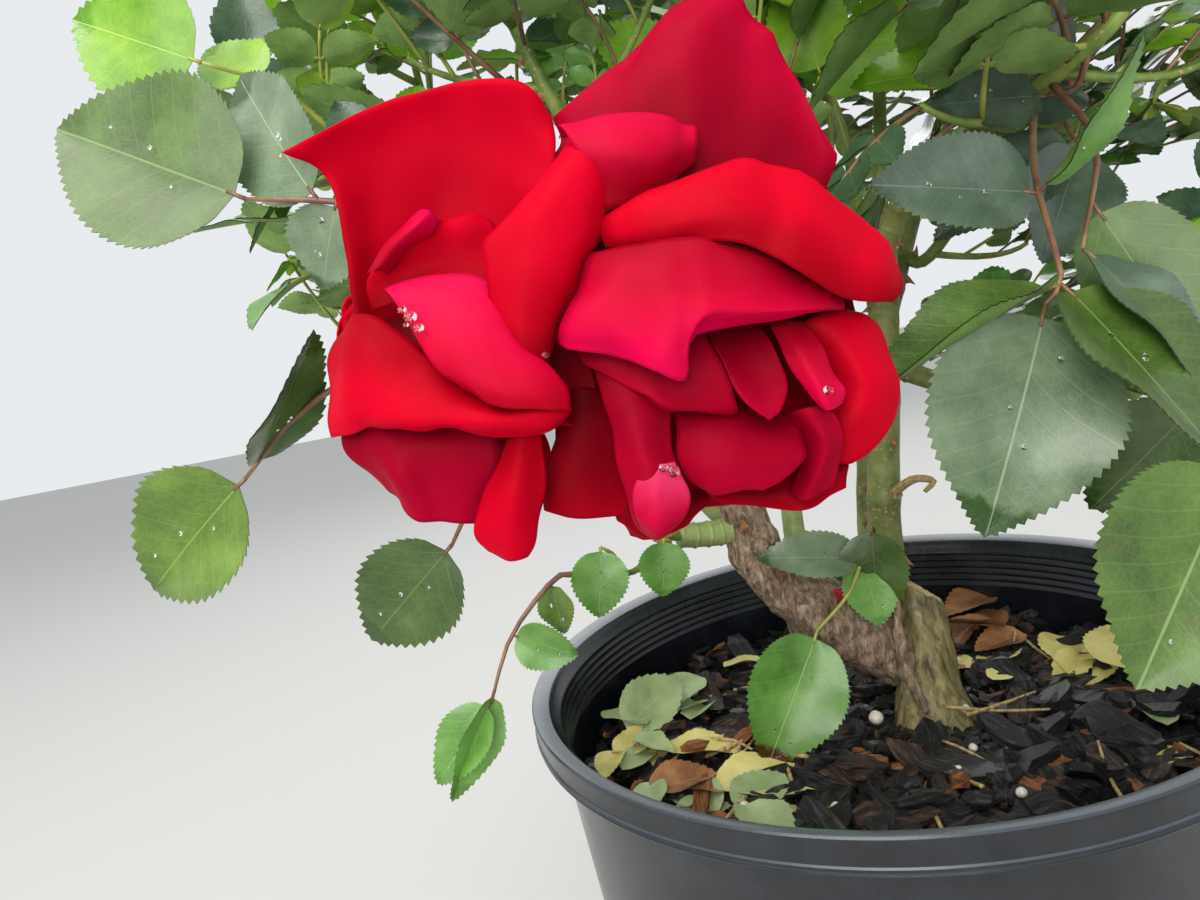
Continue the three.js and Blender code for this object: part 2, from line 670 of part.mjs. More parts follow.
function shownLeaf(name, { from, path, leaflets }) {
  const rib = shownPath(name, { from, path });
  return {
    path: rib,
    leaflets: leaflets.map(([at, tip, width, turn]) => {
      const root = rib.getPoint(at);
      const along = V(tip).sub(root);
      const length = along.length();
      along.normalize();
      const face = V([0, -1, 0.1]).applyAxisAngle(along, radians(turn));
      face.addScaledVector(along, -face.dot(along)).normalize();
      const hand = at === 1 ? 0 : Math.sign(along.dot(frameAt(rib, at).side));
      return { at, hand, root, along, face, length, width };
    }),
  };
}

// The side twigs come first, then the leaves are set in turn round the stem and each twig
function grow(name) {
  const { seed, few } = masses[name];
  const stem = stems[name];
  const leaves = (shown[name] || []).map((leaf) => shownLeaf(name, leaf));
  const feet = (shown[name] || []).map((leaf) => leaf.from);
  if (few) return { shoots: [{ path: stem, feet }], leaves };
  const count = Math.floor(stem.getLength() / twigSpacing);
  const twigs = Array.from({ length: count }, (_, i) => {
    return growTwig(name, (i + 0.7) / (count + 0.5), seed * 1000 + i * 10);
  }).flat();
  feet.push(...twigs.map((twig) => twig.at), ...growShoot(name, stem, seed, stemBare, leaves));
  const shoots = [{ path: stem, feet }];
  twigs.forEach(({ path }, i) => {
    shoots.push({ path, feet: growShoot(name, path, seed + 100 * (i + 1), twigBare, leaves) });
  });
  return { shoots, leaves };
}

// A shoot has a ring wherever a leaf or a twig stands on it
function shootLimb({ path, feet }, radii, sides) {
  const stops = [...new Set([0, 0.5, 1, ...feet])].sort((a, b) => a - b);
  return limb(path, radii, sides, stops.map((u) => path.getUtoTmapping(u)));
}

function mass(name, extras = []) {
  const { on, at, thick = stemRadius } = masses[name];
  const { shoots, leaves } = grow(name);
  const [stem, ...twigs] = shoots;
  const bodies = [shootLimb(stem, stemTaper.map((part) => part * thick), 4)];
  bodies.push(...twigs.map((twig) => shootLimb(twig, twigRadii, 3)), ...leaves.map(frond));
  let body = joined([...bodies, ...extras]);
  if (at < 1) body = body.subtract(limbSolid(on, clear));
  return largest(body);
}

// The blooms. Their truss leans with these axes: to the right, up and to the front, from between the two.
const lean = radians(bloomLean);
const nod = radians(bloomNod);
const bloomRight = V([Math.cos(lean), -Math.sin(lean) * Math.sin(nod), -Math.sin(lean) * Math.cos(nod)]);
const bloomUp = V([Math.sin(lean), Math.cos(lean) * Math.sin(nod), Math.cos(lean) * Math.cos(nod)]);
const bloomFront = bloomRight.clone().cross(bloomUp);

function bloomPoint([right, high, front]) {
  const p = bloomMiddle.clone().addScaledVector(bloomRight, right);
  return p.addScaledVector(bloomUp, high).addScaledVector(bloomFront, front);
}

// Each petal: root, tip, width, how far its middle bows to the front, its turn round its length, how far its
// sides cup to the front and how far its tip curls that way
const petals = [
  { root: [-31, -7, -10], tip: [-36, 41, 2], width: 49, bow: -7, turn: 0, cup: 5, curl: -2 },
  { root: [-30, -14, -8], tip: [-56, -14, -2], width: 32, bow: 4, turn: 10, cup: -4, curl: -4 },
  { root: [-27, -19, -4], tip: [-44, -39, 2], width: 26, bow: 4, turn: 0, cup: -3, curl: -3 },
  { root: [-17, -20, 0], tip: [-18, -51, 6], width: 16, bow: 3, turn: 0, cup: -3, curl: -3 },
  { root: [-35, -1, 6], tip: [-5, -24, 12], width: 17, bow: 3, turn: -10, cup: -3, curl: -2 },
  { root: [-12, -11, 8], tip: [-4, 29, 12], width: 20, bow: 3, turn: 15, cup: -4, curl: 0 },
  { root: [-22, -2, 0], tip: [-45, 7, 5], width: 14, bow: 2, turn: 0, cup: 2, curl: 0 },
  { root: [10, 6, -12], tip: [23, 65, -4], width: 58, bow: -6, turn: 0, cup: 4, curl: -3 },
  { root: [0, 11, 0], tip: [58, 1, 8], width: 17, bow: 3, turn: 20, cup: -2, curl: -2 },
  { root: [-6, -1, 6], tip: [46, -2, 14], width: 23, bow: 3, turn: -15, cup: -3, curl: 0 },
  { root: [2, -1, 8], tip: [18, -20, 14], width: 16, bow: 2, turn: 0, cup: -2, curl: 0 },
  { root: [35, -17, -6], tip: [60, -19, 0], width: 34, bow: -3, turn: 0, cup: 4, curl: -3 },
  { root: [27, -17, 0], tip: [26, -38, 9], width: 26, bow: 4, turn: 0, cup: -4, curl: -2 },
  { root: [34, -20, -6], tip: [46, -42, 0], width: 19, bow: 2, turn: 0, cup: -2, curl: -2 },
  { root: [7, -10, 6], tip: [9, -47, 12], width: 16, bow: 3, turn: 0, cup: -3, curl: -2 },
  { root: [-2, -17, -8], tip: [-4, -45, -5], width: 24, bow: 2, turn: 0, cup: 2, curl: 0 },
  { root: [8, 20, -2], tip: [4, 35, 6], width: 27, bow: 1, turn: 0, cup: -2, curl: -2 },
  { root: [31, -21, -12], tip: [56, -33, -8], width: 23, bow: 0, turn: 0, cup: 2, curl: -2 },
  { root: [29, -24, -12], tip: [22, -45, -7], width: 36, bow: 2, turn: 0, cup: 2, curl: -2 },
];

// The two hearts that the petals stand in, and a ring of outer petals behind each
const hearts = [
  { middle: [-27, -10, -6], size: [17, 15, 11] },
  { middle: [24, -10, -8], size: [18, 16, 11] },
];
const outerPetals = 4;
const outerLength = 24;
const outerWidth = 32;

function outerRing({ middle }) {
  return Array.from({ length: outerPetals }, (_, i) => {
    const a = ((i + 0.5) * 2 * Math.PI) / outerPetals;
    const [x, y] = [Math.cos(a), Math.sin(a)];
    const root = [middle[0] + 6 * x, middle[1] + 6 * y, middle[2] - 6];
    const tip = [root[0] + outerLength * x, root[1] + outerLength * y, root[2] - 7];
    return { root, tip, width: outerWidth, bow: -4, turn: 0, cup: 3, curl: -3 };
  });
}

const petalShape = [0.5, 1, 0.6];
const petalCross = [-1, 0, 1];

function petal({ root, tip, width, bow, turn, cup, curl }) {
  const foot = bloomPoint(root);
  const along = bloomPoint(tip).sub(foot);
  const face = bloomFront.clone().addScaledVector(along, -bloomFront.dot(along) / along.lengthSq()).normalize();
  face.applyAxisAngle(along.clone().normalize(), radians(turn));
  const side = along.clone().normalize().cross(face);
  const [rows, columns] = [petalShape.length, petalCross.length];
  const points = [];
  for (const layer of [0.5, -0.5]) {
    for (let i = 0; i < rows; i++) {
      const t = i / (rows - 1);
      for (const s of petalCross) {
        const p = foot.clone().addScaledVector(along, t).addScaledVector(side, (s * petalShape[i] * width) / 2);
        const lift = bow * 4 * t * (1 - t) + cup * s * s * (0.3 + 0.7 * t) + curl * t ** 3;
        points.push(...p.addScaledVector(face, lift + layer * petalThick).toArray());
      }
    }
  }
  const at = (layer, i, j) => (layer * rows + i) * columns + j;
  const index = [];
  const quad = (a, b, c, d) => index.push(a, b, c, a, c, d);
  for (let i = 0; i + 1 < rows; i++) {
    for (let j = 0; j + 1 < columns; j++) {
      quad(at(0, i, j), at(0, i, j + 1), at(0, i + 1, j + 1), at(0, i + 1, j));
      quad(at(1, i, j), at(1, i + 1, j), at(1, i + 1, j + 1), at(1, i, j + 1));
    }
    const k = columns - 1;
    quad(at(0, i, 0), at(0, i + 1, 0), at(1, i + 1, 0), at(1, i, 0));
    quad(at(0, i + 1, k), at(0, i, k), at(1, i, k), at(1, i + 1, k));
  }
  for (let j = 0; j + 1 < columns; j++) {
    const k = rows - 1;
    quad(at(0, 0, j + 1), at(0, 0, j), at(1, 0, j), at(1, 0, j + 1));
    quad(at(0, k, j), at(0, k, j + 1), at(1, k, j + 1), at(1, k, j));
  }
  const geometry = new THREE.BufferGeometry();
  geometry.setAttribute('position', new THREE.Float32BufferAttribute(points, 3));
  return solid(geometry.setIndex(index));
}

function heart({ middle, size }) {
  const ball = new THREE.SphereGeometry(1, 8, 4).scale(size[0], size[2], size[1]);
  ball.applyMatrix4(new THREE.Matrix4().makeBasis(bloomRight, bloomFront, bloomUp));
  const [x, y, z] = bloomPoint(middle).toArray();
  return solid(ball.translate(x, y, z));
}

function blooms() {
  const fork = stems.bloom_truss.getPoint(1);
  const bodies = [...petals, ...hearts.flatMap(outerRing)].map(petal);
  for (const one of hearts) {
    bodies.push(heart(one));
    const stalk = smooth([stems.bloom_truss.getPoint(0.9), fork, bloomPoint(one.middle)]);
    bodies.push(limb(stalk, [2.2, 2.6], 5, even(3)));
  }
  return bodies;
}

const looks = {
  pot: { color: 0x22262b, roughness: 0.42, metalness: 0 },
  mulch: { color: 0x1f1c1b, roughness: 0.95, metalness: 0 },
  bark: { color: 0x7a6450, roughness: 0.9, metalness: 0 },
  cane: { color: 0x74803f, roughness: 0.6, metalness: 0 },
  leaf: { color: 0x3f6b34, roughness: 0.5, metalness: 0 },
  bloom: { color: 0xc4001f, roughness: 0.55, metalness: 0 },
};

const roseBush = new THREE.Group();
roseBush.name = 'rose_bush';
roseBush.add(node('pot', pot(), looks.pot));
roseBush.add(node('mulch', pottingMix(), looks.mulch));

const wood = new THREE.Group();
wood.name = 'wood';
wood.add(node('stump', stump(), looks.bark));
for (const name of Object.keys(limbs).slice(1)) {
  wood.add(node(name, bough(name), name === 'old_bough' ? looks.bark : looks.cane));
}
roseBush.add(wood);

const crown = new THREE.Group();
crown.name = 'crown';
for (const name of Object.keys(masses)) {
  const extras = name === 'bloom_truss' ? blooms() : [];
  crown.add(node(name, mass(name, extras), name === 'bloom_truss' ? looks.bloom : looks.leaf));
}
roseBush.add(crown);

export default roseBush;
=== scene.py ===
# Rose bush in its nursery pot, worked out in millimetres and turned to metres where a mesh is made
import bpy
import math
import random
import numpy as np
from mathutils import Matrix, Vector, noise


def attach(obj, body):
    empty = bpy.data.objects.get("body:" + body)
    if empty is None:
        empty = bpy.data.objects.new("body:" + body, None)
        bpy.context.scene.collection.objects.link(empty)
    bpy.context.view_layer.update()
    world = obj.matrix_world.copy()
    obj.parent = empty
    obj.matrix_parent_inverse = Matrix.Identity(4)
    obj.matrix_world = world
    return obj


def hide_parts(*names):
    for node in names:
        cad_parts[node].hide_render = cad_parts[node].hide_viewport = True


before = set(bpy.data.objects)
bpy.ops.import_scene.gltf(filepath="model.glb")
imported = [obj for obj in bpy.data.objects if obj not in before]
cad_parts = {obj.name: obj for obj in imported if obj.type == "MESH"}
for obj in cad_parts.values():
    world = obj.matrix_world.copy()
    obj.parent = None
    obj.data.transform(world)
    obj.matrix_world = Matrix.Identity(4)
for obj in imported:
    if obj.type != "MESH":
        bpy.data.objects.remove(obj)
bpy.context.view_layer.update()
print("frame loaded:", len(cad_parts), "nodes")

mm = 0.001
zUp = np.array([0.0, 0.0, 1.0])


def vec(*values):
    return np.array(values, float)


def unit(v):
    return v / np.linalg.norm(v)


def turned(v, axis, degrees):  # v turned about a unit axis
    a = math.radians(degrees)
    return v * math.cos(a) + np.cross(axis, v) * math.sin(a) + axis * np.dot(axis, v) * (1 - math.cos(a))


def mix(a, b, t):
    return a + (b - a) * t


def dice(seed):  # the source's seeded numbers from 0 to 1
    state = int(seed) & 0xFFFFFFFF

    def roll():
        nonlocal state
        state = (state + 0x6D2B79F5) & 0xFFFFFFFF
        t = state
        t = ((t ^ (t >> 15)) * (t | 1)) & 0xFFFFFFFF
        t ^= (t + (((t ^ (t >> 7)) * (t | 61)) & 0xFFFFFFFF)) & 0xFFFFFFFF
        return ((t ^ (t >> 14)) & 0xFFFFFFFF) / 4294967296
    return roll


def smooth(p, t):  # a point of the smooth curve through points
    at = (len(p) - 1) * t
    i = min(int(at), len(p) - 2)
    w = at - i
    before = p[i - 1] if i > 0 else 2 * p[0] - p[1]
    after = p[i + 2] if i + 2 < len(p) else 2 * p[-1] - p[-2]
    v0, v1 = 0.5 * (p[i + 1] - before), 0.5 * (after - p[i])
    a = 2 * p[i] - 2 * p[i + 1] + v0 + v1
    b = -3 * p[i] + 3 * p[i + 1] - 2 * v0 - v1
    return ((a * w + b) * w + v0) * w + p[i]


class Path:  # a smooth curve through points, or a bow from a foot past an elbow to an end
    def __init__(self, points, bow=False):
        self.points = [np.array(p, float) for p in points]
        self.bow = bow
        self.ts = np.linspace(0, 1, 201)
        line = np.array([self.point(t) for t in self.ts])
        self.lengths = np.concatenate([[0], np.cumsum(np.linalg.norm(np.diff(line, axis=0), axis=1))])
        self.length = self.lengths[-1]

    def point(self, t):
        p = self.points
        if self.bow:
            return (1 - t) ** 2 * p[0] + 2 * (1 - t) * t * p[1] + t * t * p[2]
        return smooth(p, t)

    def tangent(self, t):
        return unit(self.point(min(1, t + 1e-4)) - self.point(max(0, t - 1e-4)))

    def along(self, u):  # the curve's own t at a part u of its length
        return float(np.interp(u * self.length, self.lengths, self.ts))

    def pointAt(self, u):
        return self.point(self.along(u))

    def tangentAt(self, u):
        return self.tangent(self.along(u))

    def spaced(self, count):
        return np.array([self.pointAt(i / count) for i in range(count + 1)])


def guideFor(direction):
    mostlyAlong = abs(direction[1]) > 0.75 * np.linalg.norm(direction)
    return vec(1, 0.1, 0.2) if mostlyAlong else vec(0.2, 1, 0.1)


def across(tangent, degrees, guide=None):  # a direction across a stem
    guide = guideFor(tangent) if guide is None else guide
    u = unit(guide - tangent * np.dot(guide, tangent))
    a = math.radians(degrees)
    return u * math.cos(a) + np.cross(tangent, u) * math.sin(a)


# meshes
class Bin:  # gathers many small shapes, each with its material, into one piece
    def __init__(self):
        self.points, self.faces, self.looks, self.marks, self.count = [], [], [], [], 0

    def add(self, points, faces, look, marks=None):
        points = np.asarray(points, float)
        self.points.append(points)
        self.faces.extend(tuple(int(k) + self.count for k in face) for face in faces)
        self.looks.extend([look] * len(faces))
        self.marks.append(np.zeros((len(points), 2)) if marks is None else np.asarray(marks, float))
        self.count += len(points)


def makePiece(name, source, replaced=(), smooth=True):
    mesh = bpy.data.meshes.new(name)
    points = np.concatenate(source.points) * mm
    mesh.from_pydata(points.tolist(), [], source.faces)
    looks = list(dict.fromkeys(source.looks))
    for look in looks:
        mesh.materials.append(look)
    order = {look: i for i, look in enumerate(looks)}
    mesh.polygons.foreach_set("material_index", [order[look] for look in source.looks])
    mesh.polygons.foreach_set("use_smooth", [smooth] * len(mesh.polygons))
    marks = np.concatenate(source.marks)
    if marks.any():  # where each point lies on its leaf or petal, for veins and tints
        corners = np.zeros(len(mesh.loops), int)
        mesh.loops.foreach_get("vertex_index", corners)
        mesh.uv_layers.new(name="place").data.foreach_set("uv", marks[corners].ravel())
    mesh.update()
    piece = bpy.data.objects.new(name, mesh)
    bpy.context.scene.collection.objects.link(piece)
    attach(piece, "root")
    if replaced:
        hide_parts(*replaced)
    print(name, len(mesh.polygons), "faces")
    return piece


def radiusAt(radii, t):
    return np.interp(t * (len(radii) - 1), range(len(radii)), radii)


def ringFaces(rings, sides, caps=True):  # between rings of points, each closed round, and over both ends
    faces = []
    for i in range(rings - 1):
        for j in range(sides):
            k = (j + 1) % sides
            faces.append((i * sides + j, i * sides + k, (i + 1) * sides + k, (i + 1) * sides + j))
    if caps:
        faces.append(tuple(reversed(range(sides))))
        faces.append(tuple(range((rings - 1) * sides, rings * sides)))
    return faces


def tube(path, radii, sides, rings, swell=None):
    guide = guideFor(path.point(1) - path.point(0))
    points = []
    for i in range(rings):
        t = i / (rings - 1)
        r = radiusAt(radii, t)
        middle, tangent = path.point(t), path.tangent(t)
        for j in range(sides):
            turn = 360 * j / sides
            wide = r if swell is None else r * swell(t, turn)
            points.append(middle + across(tangent, turn, guide) * wide)
    return points, ringFaces(rings, sides)


# materials
def colour(code):  # sRGB hex to linear
    parts = [int(code[i:i + 2], 16) / 255 for i in (1, 3, 5)]
    return tuple(c / 12.92 if c <= 0.04045 else ((c + 0.055) / 1.055) ** 2.4 for c in parts) + (1.0,)


def perMm(size):  # pattern scale that gives details of this many millimetres
    return 1000 / size


def addNode(tree, kind, sockets=None, links=None, stops=None, **settings):
    made = tree.nodes.new(kind)
    for key, value in settings.items():
        setattr(made, key, value)
    for key, value in (sockets or {}).items():
        made.inputs[key].default_value = value
    for key, out in (links or {}).items():
        tree.links.new(out, made.inputs[key])
    if stops:
        ramp = made.color_ramp
        while len(ramp.elements) < len(stops):
            ramp.elements.new(0.5)
        for element, (place, code) in zip(ramp.elements, stops):
            element.position, element.color = place, colour(code)
    return made


def newLook(name, code, rough, ior=1.45, **sockets):  # a material with its shader and place on the object
    look = bpy.data.materials.new(name)
    look.use_nodes = True
    tree = look.node_tree
    tree.nodes.clear()
    shader = addNode(tree, "ShaderNodeBsdfPrincipled",
                     {"Base Color": colour(code), "Roughness": rough, "IOR": ior})
    for key, value in sockets.items():
        shader.inputs[key.replace("_", " ")].default_value = value
    addNode(tree, "ShaderNodeOutputMaterial", links={"Surface": shader.outputs[0]})
    place = addNode(tree, "ShaderNodeTexCoord").outputs["Object"]
    return look, tree, shader, place


def addRelief(tree, shader, height, strength, depth):  # depth in millimetres
    bump = addNode(tree, "ShaderNodeBump", {"Strength": strength, "Distance": depth * mm}, {"Height": height})
    tree.links.new(bump.outputs[0], shader.inputs["Normal"])


# the plant's tables, as in the source: where the mix ends, and the wood as its radii and points
mulchLevel = 187
limbs = {
  "stump": {
    "radii": [14.2, 11, 9.8, 8.4, 7],
    "points": [[19.2, 6, 179], [20.6, 12, 199], [22, 15, 212], [24.4, 20, 228], [26.5, 24, 242]],
  },
  "old_bough": {
    "radii": [11.5, 13.2, 12.4, 9, 9.6, 8.6],
    "points": [[16, 17, 205], [-3, 19, 220], [-15, 18, 231], [-26, 19, 243], [-33, 20, 256], [-36, 20, 278]],
  },
  "green_stub": {
    "radii": [5, 4.8, 4.4],
    "points": [[-38, 20, 267], [-48, 18, 267.5], [-61, 14, 270]],
  },
  "main_cane": {
    "radii": [7.2, 6.6, 6.3, 6.1, 5.9, 5.4],
    "points": [[14, 26, 208], [20, 36, 236], [23, 38, 263], [30, 41, 302], [36, 43, 340], [41, 46, 372]],
  },
  "right_cane": {
    "radii": [4.8, 4.4, 4.1],
    "points": [[39, 45, 360], [47, 30, 377], [60, -6, 390]],
  },
  "low_right_cane": {
    "radii": [4, 3.7, 3.4],
    "points": [[32, 42, 316], [48, 18, 306], [68, -20, 303]],
  },
  "left_cane": {
    "radii": [6, 5.3, 4.9, 4.4],
    "points": [[-36, 20.5, 272], [-41, 22, 309], [-52, 18, 356], [-66, 8, 398]],
  },
  "back_cane": {
    "radii": [5, 4.2, 4, 3.8],
    "points": [[-14, 22, 234], [-13, 43, 260], [-2, 66, 306], [7, 90, 348]],
  },
  "right_back_cane": {
    "radii": [4.6, 4.4, 4.1, 3.9, 3.6],
    "points": [[14, 28, 214], [22, 62, 246], [40, 92, 292], [62, 108, 335], [82, 118, 375]],
  },
  "left_back_cane": {
    "radii": [4.8, 4.3, 4, 3.7],
    "points": [[-36, 22, 262], [-62, 55, 300], [-88, 82, 343], [-105, 95, 380]],
  },
}

masses = {
  "top_spray": {
    "on": "main_cane", "at": 1, "seed": 11, "points": [[50, 50, 430], [55, 46, 500], [53, 40, 576]],
  },
  "top_back_spray": {
    "on": "main_cane", "at": 0.9, "seed": 12, "points": [[42, 78, 410], [40, 108, 462], [36, 124, 512]],
  },
  "top_left_spray": {
    "on": "left_cane", "at": 1, "seed": 13, "points": [[-79, -1, 430], [-90, -4, 470], [-98, -4, 528]],
  },
  "top_middle_spray": {
    "on": "main_cane", "at": 0.84, "seed": 14, "points": [[16, 34, 404], [-8, 28, 468], [-22, 22, 546]],
  },
  "right_front_spray": {
    "on": "right_cane", "at": 1, "seed": 15,
    "points": [[71, -40, 399], [84, -52, 412], [100, -56, 446], [108, -54, 492]],
  },
  "right_top_spray": {
    "on": "right_cane", "at": 0.7, "seed": 16, "points": [[84, 16, 412], [108, 20, 460], [118, 18, 522]],
  },
  "right_back_spray": {
    "on": "right_back_cane", "at": 1, "seed": 17,
    "points": [[106, 128, 410], [122, 132, 455], [126, 130, 502]],
  },
  "right_spray": {
    "on": "right_back_cane", "at": 0.88, "seed": 18,
    "points": [[104, 98, 376], [136, 76, 394], [158, 60, 420]],
  },
  "right_low_spray": {
    "on": "right_back_cane", "at": 0.6, "seed": 19, "points": [[84, 94, 318], [118, 94, 322], [146, 88, 336]],
  },
  "front_right_spray": {
    "on": "low_right_cane", "at": 1, "seed": 20,
    "points": [[80, -52, 314], [90, -84, 320], [92, -108, 314], [84, -124, 300]],
  },
  "right_side_spray": {
    "on": "low_right_cane", "at": 0.8, "seed": 21,
    "points": [[96, -4, 322], [126, -12, 338], [152, -18, 362]],
  },
  "bloom_truss": {
    "on": "left_cane", "at": 0.88, "seed": 22, "few": True,
    "points": [[-66, -18, 386], [-74, -48, 382], [-80, -76, 370]],
  },
  "front_left_spray": {
    "on": "left_cane", "at": 0.78, "seed": 23, "points": [[-92, 10, 386], [-124, 0, 402], [-150, -8, 428]],
  },
  "left_back_spray": {
    "on": "left_back_cane", "at": 1, "seed": 24,
    "points": [[-122, 108, 420], [-132, 114, 465], [-134, 114, 512]],
  },
  "left_spray": {
    "on": "left_back_cane", "at": 0.86, "seed": 25,
    "points": [[-126, 78, 364], [-150, 62, 380], [-164, 52, 402]],
  },
  "left_low_spray": {
    "on": "left_back_cane", "at": 0.5, "seed": 26,
    "points": [[-100, 56, 316], [-126, 46, 320], [-148, 36, 332]],
  },
  "back_spray": {
    "on": "back_cane", "at": 1, "seed": 27, "points": [[8, 122, 386], [4, 146, 420], [0, 154, 464]],
  },
  "back_low_spray": {
    "on": "back_cane", "at": 0.66, "seed": 28, "points": [[-12, 104, 312], [-20, 134, 318], [-26, 156, 332]],
  },
  "back_left_spray": {
    "on": "back_cane", "at": 0.9, "seed": 29,
    "points": [[-26, 102, 380], [-48, 106, 430], [-56, 104, 490], [-58, 100, 546]],
  },
  "low_leaf": {
    "on": "main_cane", "at": 0.24, "seed": 30, "few": True, "thick": 1.6,
    "points": [[14, 26, 248], [10, 22, 250]],
  },
  "hanging_sprig": {
    "on": "green_stub", "at": 1, "seed": 31, "few": True, "thick": 1.9,
    "points": [[-68, 8, 269], [-74, 3, 265.5], [-86, -4, 264], [-99, -9, 268]],
  },
}

# leaves that stand where they are seen: where each leaves its stem, its stalk's way, and its leaflets
# as their place along it, tip, width, turn and tone
shown = {
  "bloom_truss": [
    {
      "from": 0.5, "path": [[-108, -82, 383], [-133, -94, 389], [-154, -90, 394]],
      "leaflets": [
        [1, [-196, -88, 421], 42, 10, "olive"], [0.72, [-158, -78, 428], 26, -25, "dusty"],
        [0.66, [-143, -92, 371], 22, 20, "dusty"],
      ],
    },
    {
      "from": 0.7, "path": [[-116, -88, 358], [-150, -95, 344], [-169, -92, 330]],
      "leaflets": [[1, [-205, -89, 306], 31, 5, "moss"], [0.95, [-138, -108, 357], 20, 80, "deep"]],
    },
    {
      "from": 0.88, "path": [[-104, -84, 338], [-118, -78, 314], [-127, -75, 301]],
      "leaflets": [[1, [-157, -74, 277], 28, 0, "deep"]],
    },
  ],
  "right_front_spray": [
    {
      "from": 0.16, "path": [[52, -50, 378], [39, -74, 362], [33, -91, 341], [26, -95, 335]],
      "leaflets": [
        [1, [2, -109, 286], 45, 5, "dusty"], [0.5, [-4, -82, 373], 26, 15, "slate"],
        [0.5, [63, -92, 388], 24, 65, "mid"], [0.8, [-23, -109, 331], 22, 76, "deep"],
        [0.8, [46, -126, 303], 34, -25, "deep"],
      ],
    },
    { "from": 0.3, "path": [[72, -40, 392], [66, -34, 392]],
     "leaflets": [[1, [32, -36, 398], 26, 30, "slate"]] },
  ],
  "front_right_spray": [
    {
      "from": 0.9, "path": [[70, -130, 306], [54, -132, 304], [42, -130, 298]],
      "leaflets": [[1, [12, -142, 260], 44, 5, "olive"], [0.62, [30, -122, 250], 30, 30, "deep"]],
    },
  ],
  "low_leaf": [
    {
      "from": 0.9, "path": [[3, 9, 250], [-6, 2, 240], [-20, -3, 231]],
      "leaflets": [
        [1, [-48, -22, 193], 34, 5, "tipped"], [0.34, [-33, 0, 262], 18, 30, "dusty"],
        [0.34, [2, -5, 229], 20, 0, "mid"],
      ],
    },
  ],
  "hanging_sprig": [
    {
      "from": 1, "path": [[-105, -13, 271], [-115, -18, 265], [-126, -23, 254], [-134, -29, 238]],
      "leaflets": [
        [1, [-158, -34, 216], 18, 20, "mid"], [0.95, [-150, -36, 208], 15, -40, "mid"],
        [0.7, [-104, -26, 246], 16, 10, "mid"], [0.35, [-108, -18, 252], 15, 40, "moss"],
      ],
    },
    { "from": 0.72, "path": [[-86, -6, 272], [-90, -9, 277]],
     "leaflets": [[1, [-95, -15, 254], 19, 0, "mid"]] },
    { "from": 0.3, "path": [[-66, -2, 272], [-68, -6, 275]],
     "leaflets": [[1, [-72, -9, 255], 17, 0, "mid"]] },
  ],
}
# more leaves seen among those, which only the looks have
alsoShown = {
  "right_top_spray": [
    {
      "from": 0.25, "path": [[92, 2, 404], [96, -4, 398]],
      "leaflets": [[1, [48, -16, 400], 30, 20, "slate"], [0.7, [70, -30, 424], 26, 30, "slate"]],
    },
    {
      "from": 0.35, "path": [[88, -4, 388], [88, -12, 378]],
      "leaflets": [[1, [62, -30, 344], 30, 5, "slate"], [0.8, [36, -22, 362], 26, 20, "slate"]],
    },
  ],
  "right_front_spray": [
    {
      "from": 0.2, "path": [[66, -56, 374], [44, -82, 346]],
      "leaflets": [[1, [55, -116, 316], 24, -35, "slate"], [0.8, [70, -96, 302], 32, 10, "olive"]],
    },
    { "from": 0.3, "path": [[60, -46, 402], [46, -30, 404]],
     "leaflets": [[1, [14, -22, 412], 24, 30, "lime"]] },
  ],
  "front_right_spray": [
    {
      "from": 0.3, "path": [[86, -56, 306], [86, -58, 298]],
      "leaflets": [[1, [57, -50, 268], 32, 10, "deep"], [0.6, [112, -60, 274], 26, -10, "deep"]],
    },
  ],
  "low_leaf": [
    { "from": 0.9, "path": [[10, 14, 259], [7, 6, 262]], "leaflets": [[1, [3, 2, 228], 24, 25, "deep"]] },
  ],
  "front_left_spray": [
    {
      "from": 0.95, "path": [[-160, -20, 440], [-176, -34, 446]],
      "leaflets": [[1, [-211, -36, 466], 36, -5, "lime"], [0.6, [-182, -12, 460], 22, 20, "lime"]],
    },
  ],
  "top_middle_spray": [
    {
      "from": 0.2, "path": [[26, 38, 418], [37, 38, 428]],
      "leaflets": [[1, [-2, 32, 454], 30, -10, "lime"], [0.8, [70, 22, 446], 32, 10, "lime"]],
    },
    {
      "from": 0.3, "path": [[14, 22, 414], [14, 8, 420]],
      "leaflets": [[1, [6, 0, 452], 26, -20, "lime"], [0.7, [40, -4, 432], 22, 10, "lime"]],
    },
    { "from": 0.5, "path": [[-22, 12, 424], [-34, 2, 424]],
     "leaflets": [[1, [-60, -12, 442], 24, 10, "lime"]] },
  ],
}

# the growing rule, as in the source
leafletPlan = [[1, 0, 1, 0.78], [0.72, 60, 0.84, 0.64], [0.72, -60, 0.84, 0.64],
               [0.42, 66, 0.72, 0.64], [0.42, -66, 0.72, 0.64]]
corners = [vec(0, 0, 0), vec(0.44, 0.54, 0.03), vec(1, 0, -0.06), vec(0.44, -0.54, 0.03)]
trial = np.array(corners + [vec(0.5, 0, 0), vec(0.25, 0.3, 0), vec(0.25, -0.3, 0),
                            vec(0.72, 0.27, 0), vec(0.72, -0.27, 0)])
bloomMiddle = vec(-78, -125, 354)
space = {"middle": vec(5, 30, 430), "left": 222, "right": 225, "front": 150, "back": 190, "up": 216,
         "down": 190, "skirtFront": 292, "skirtBack": 240, "spaceGap": 1.5, "limbGap": 2.6, "stemRoom": 8,
         "bloomKeep": 74, "leafletGap": 0.5}
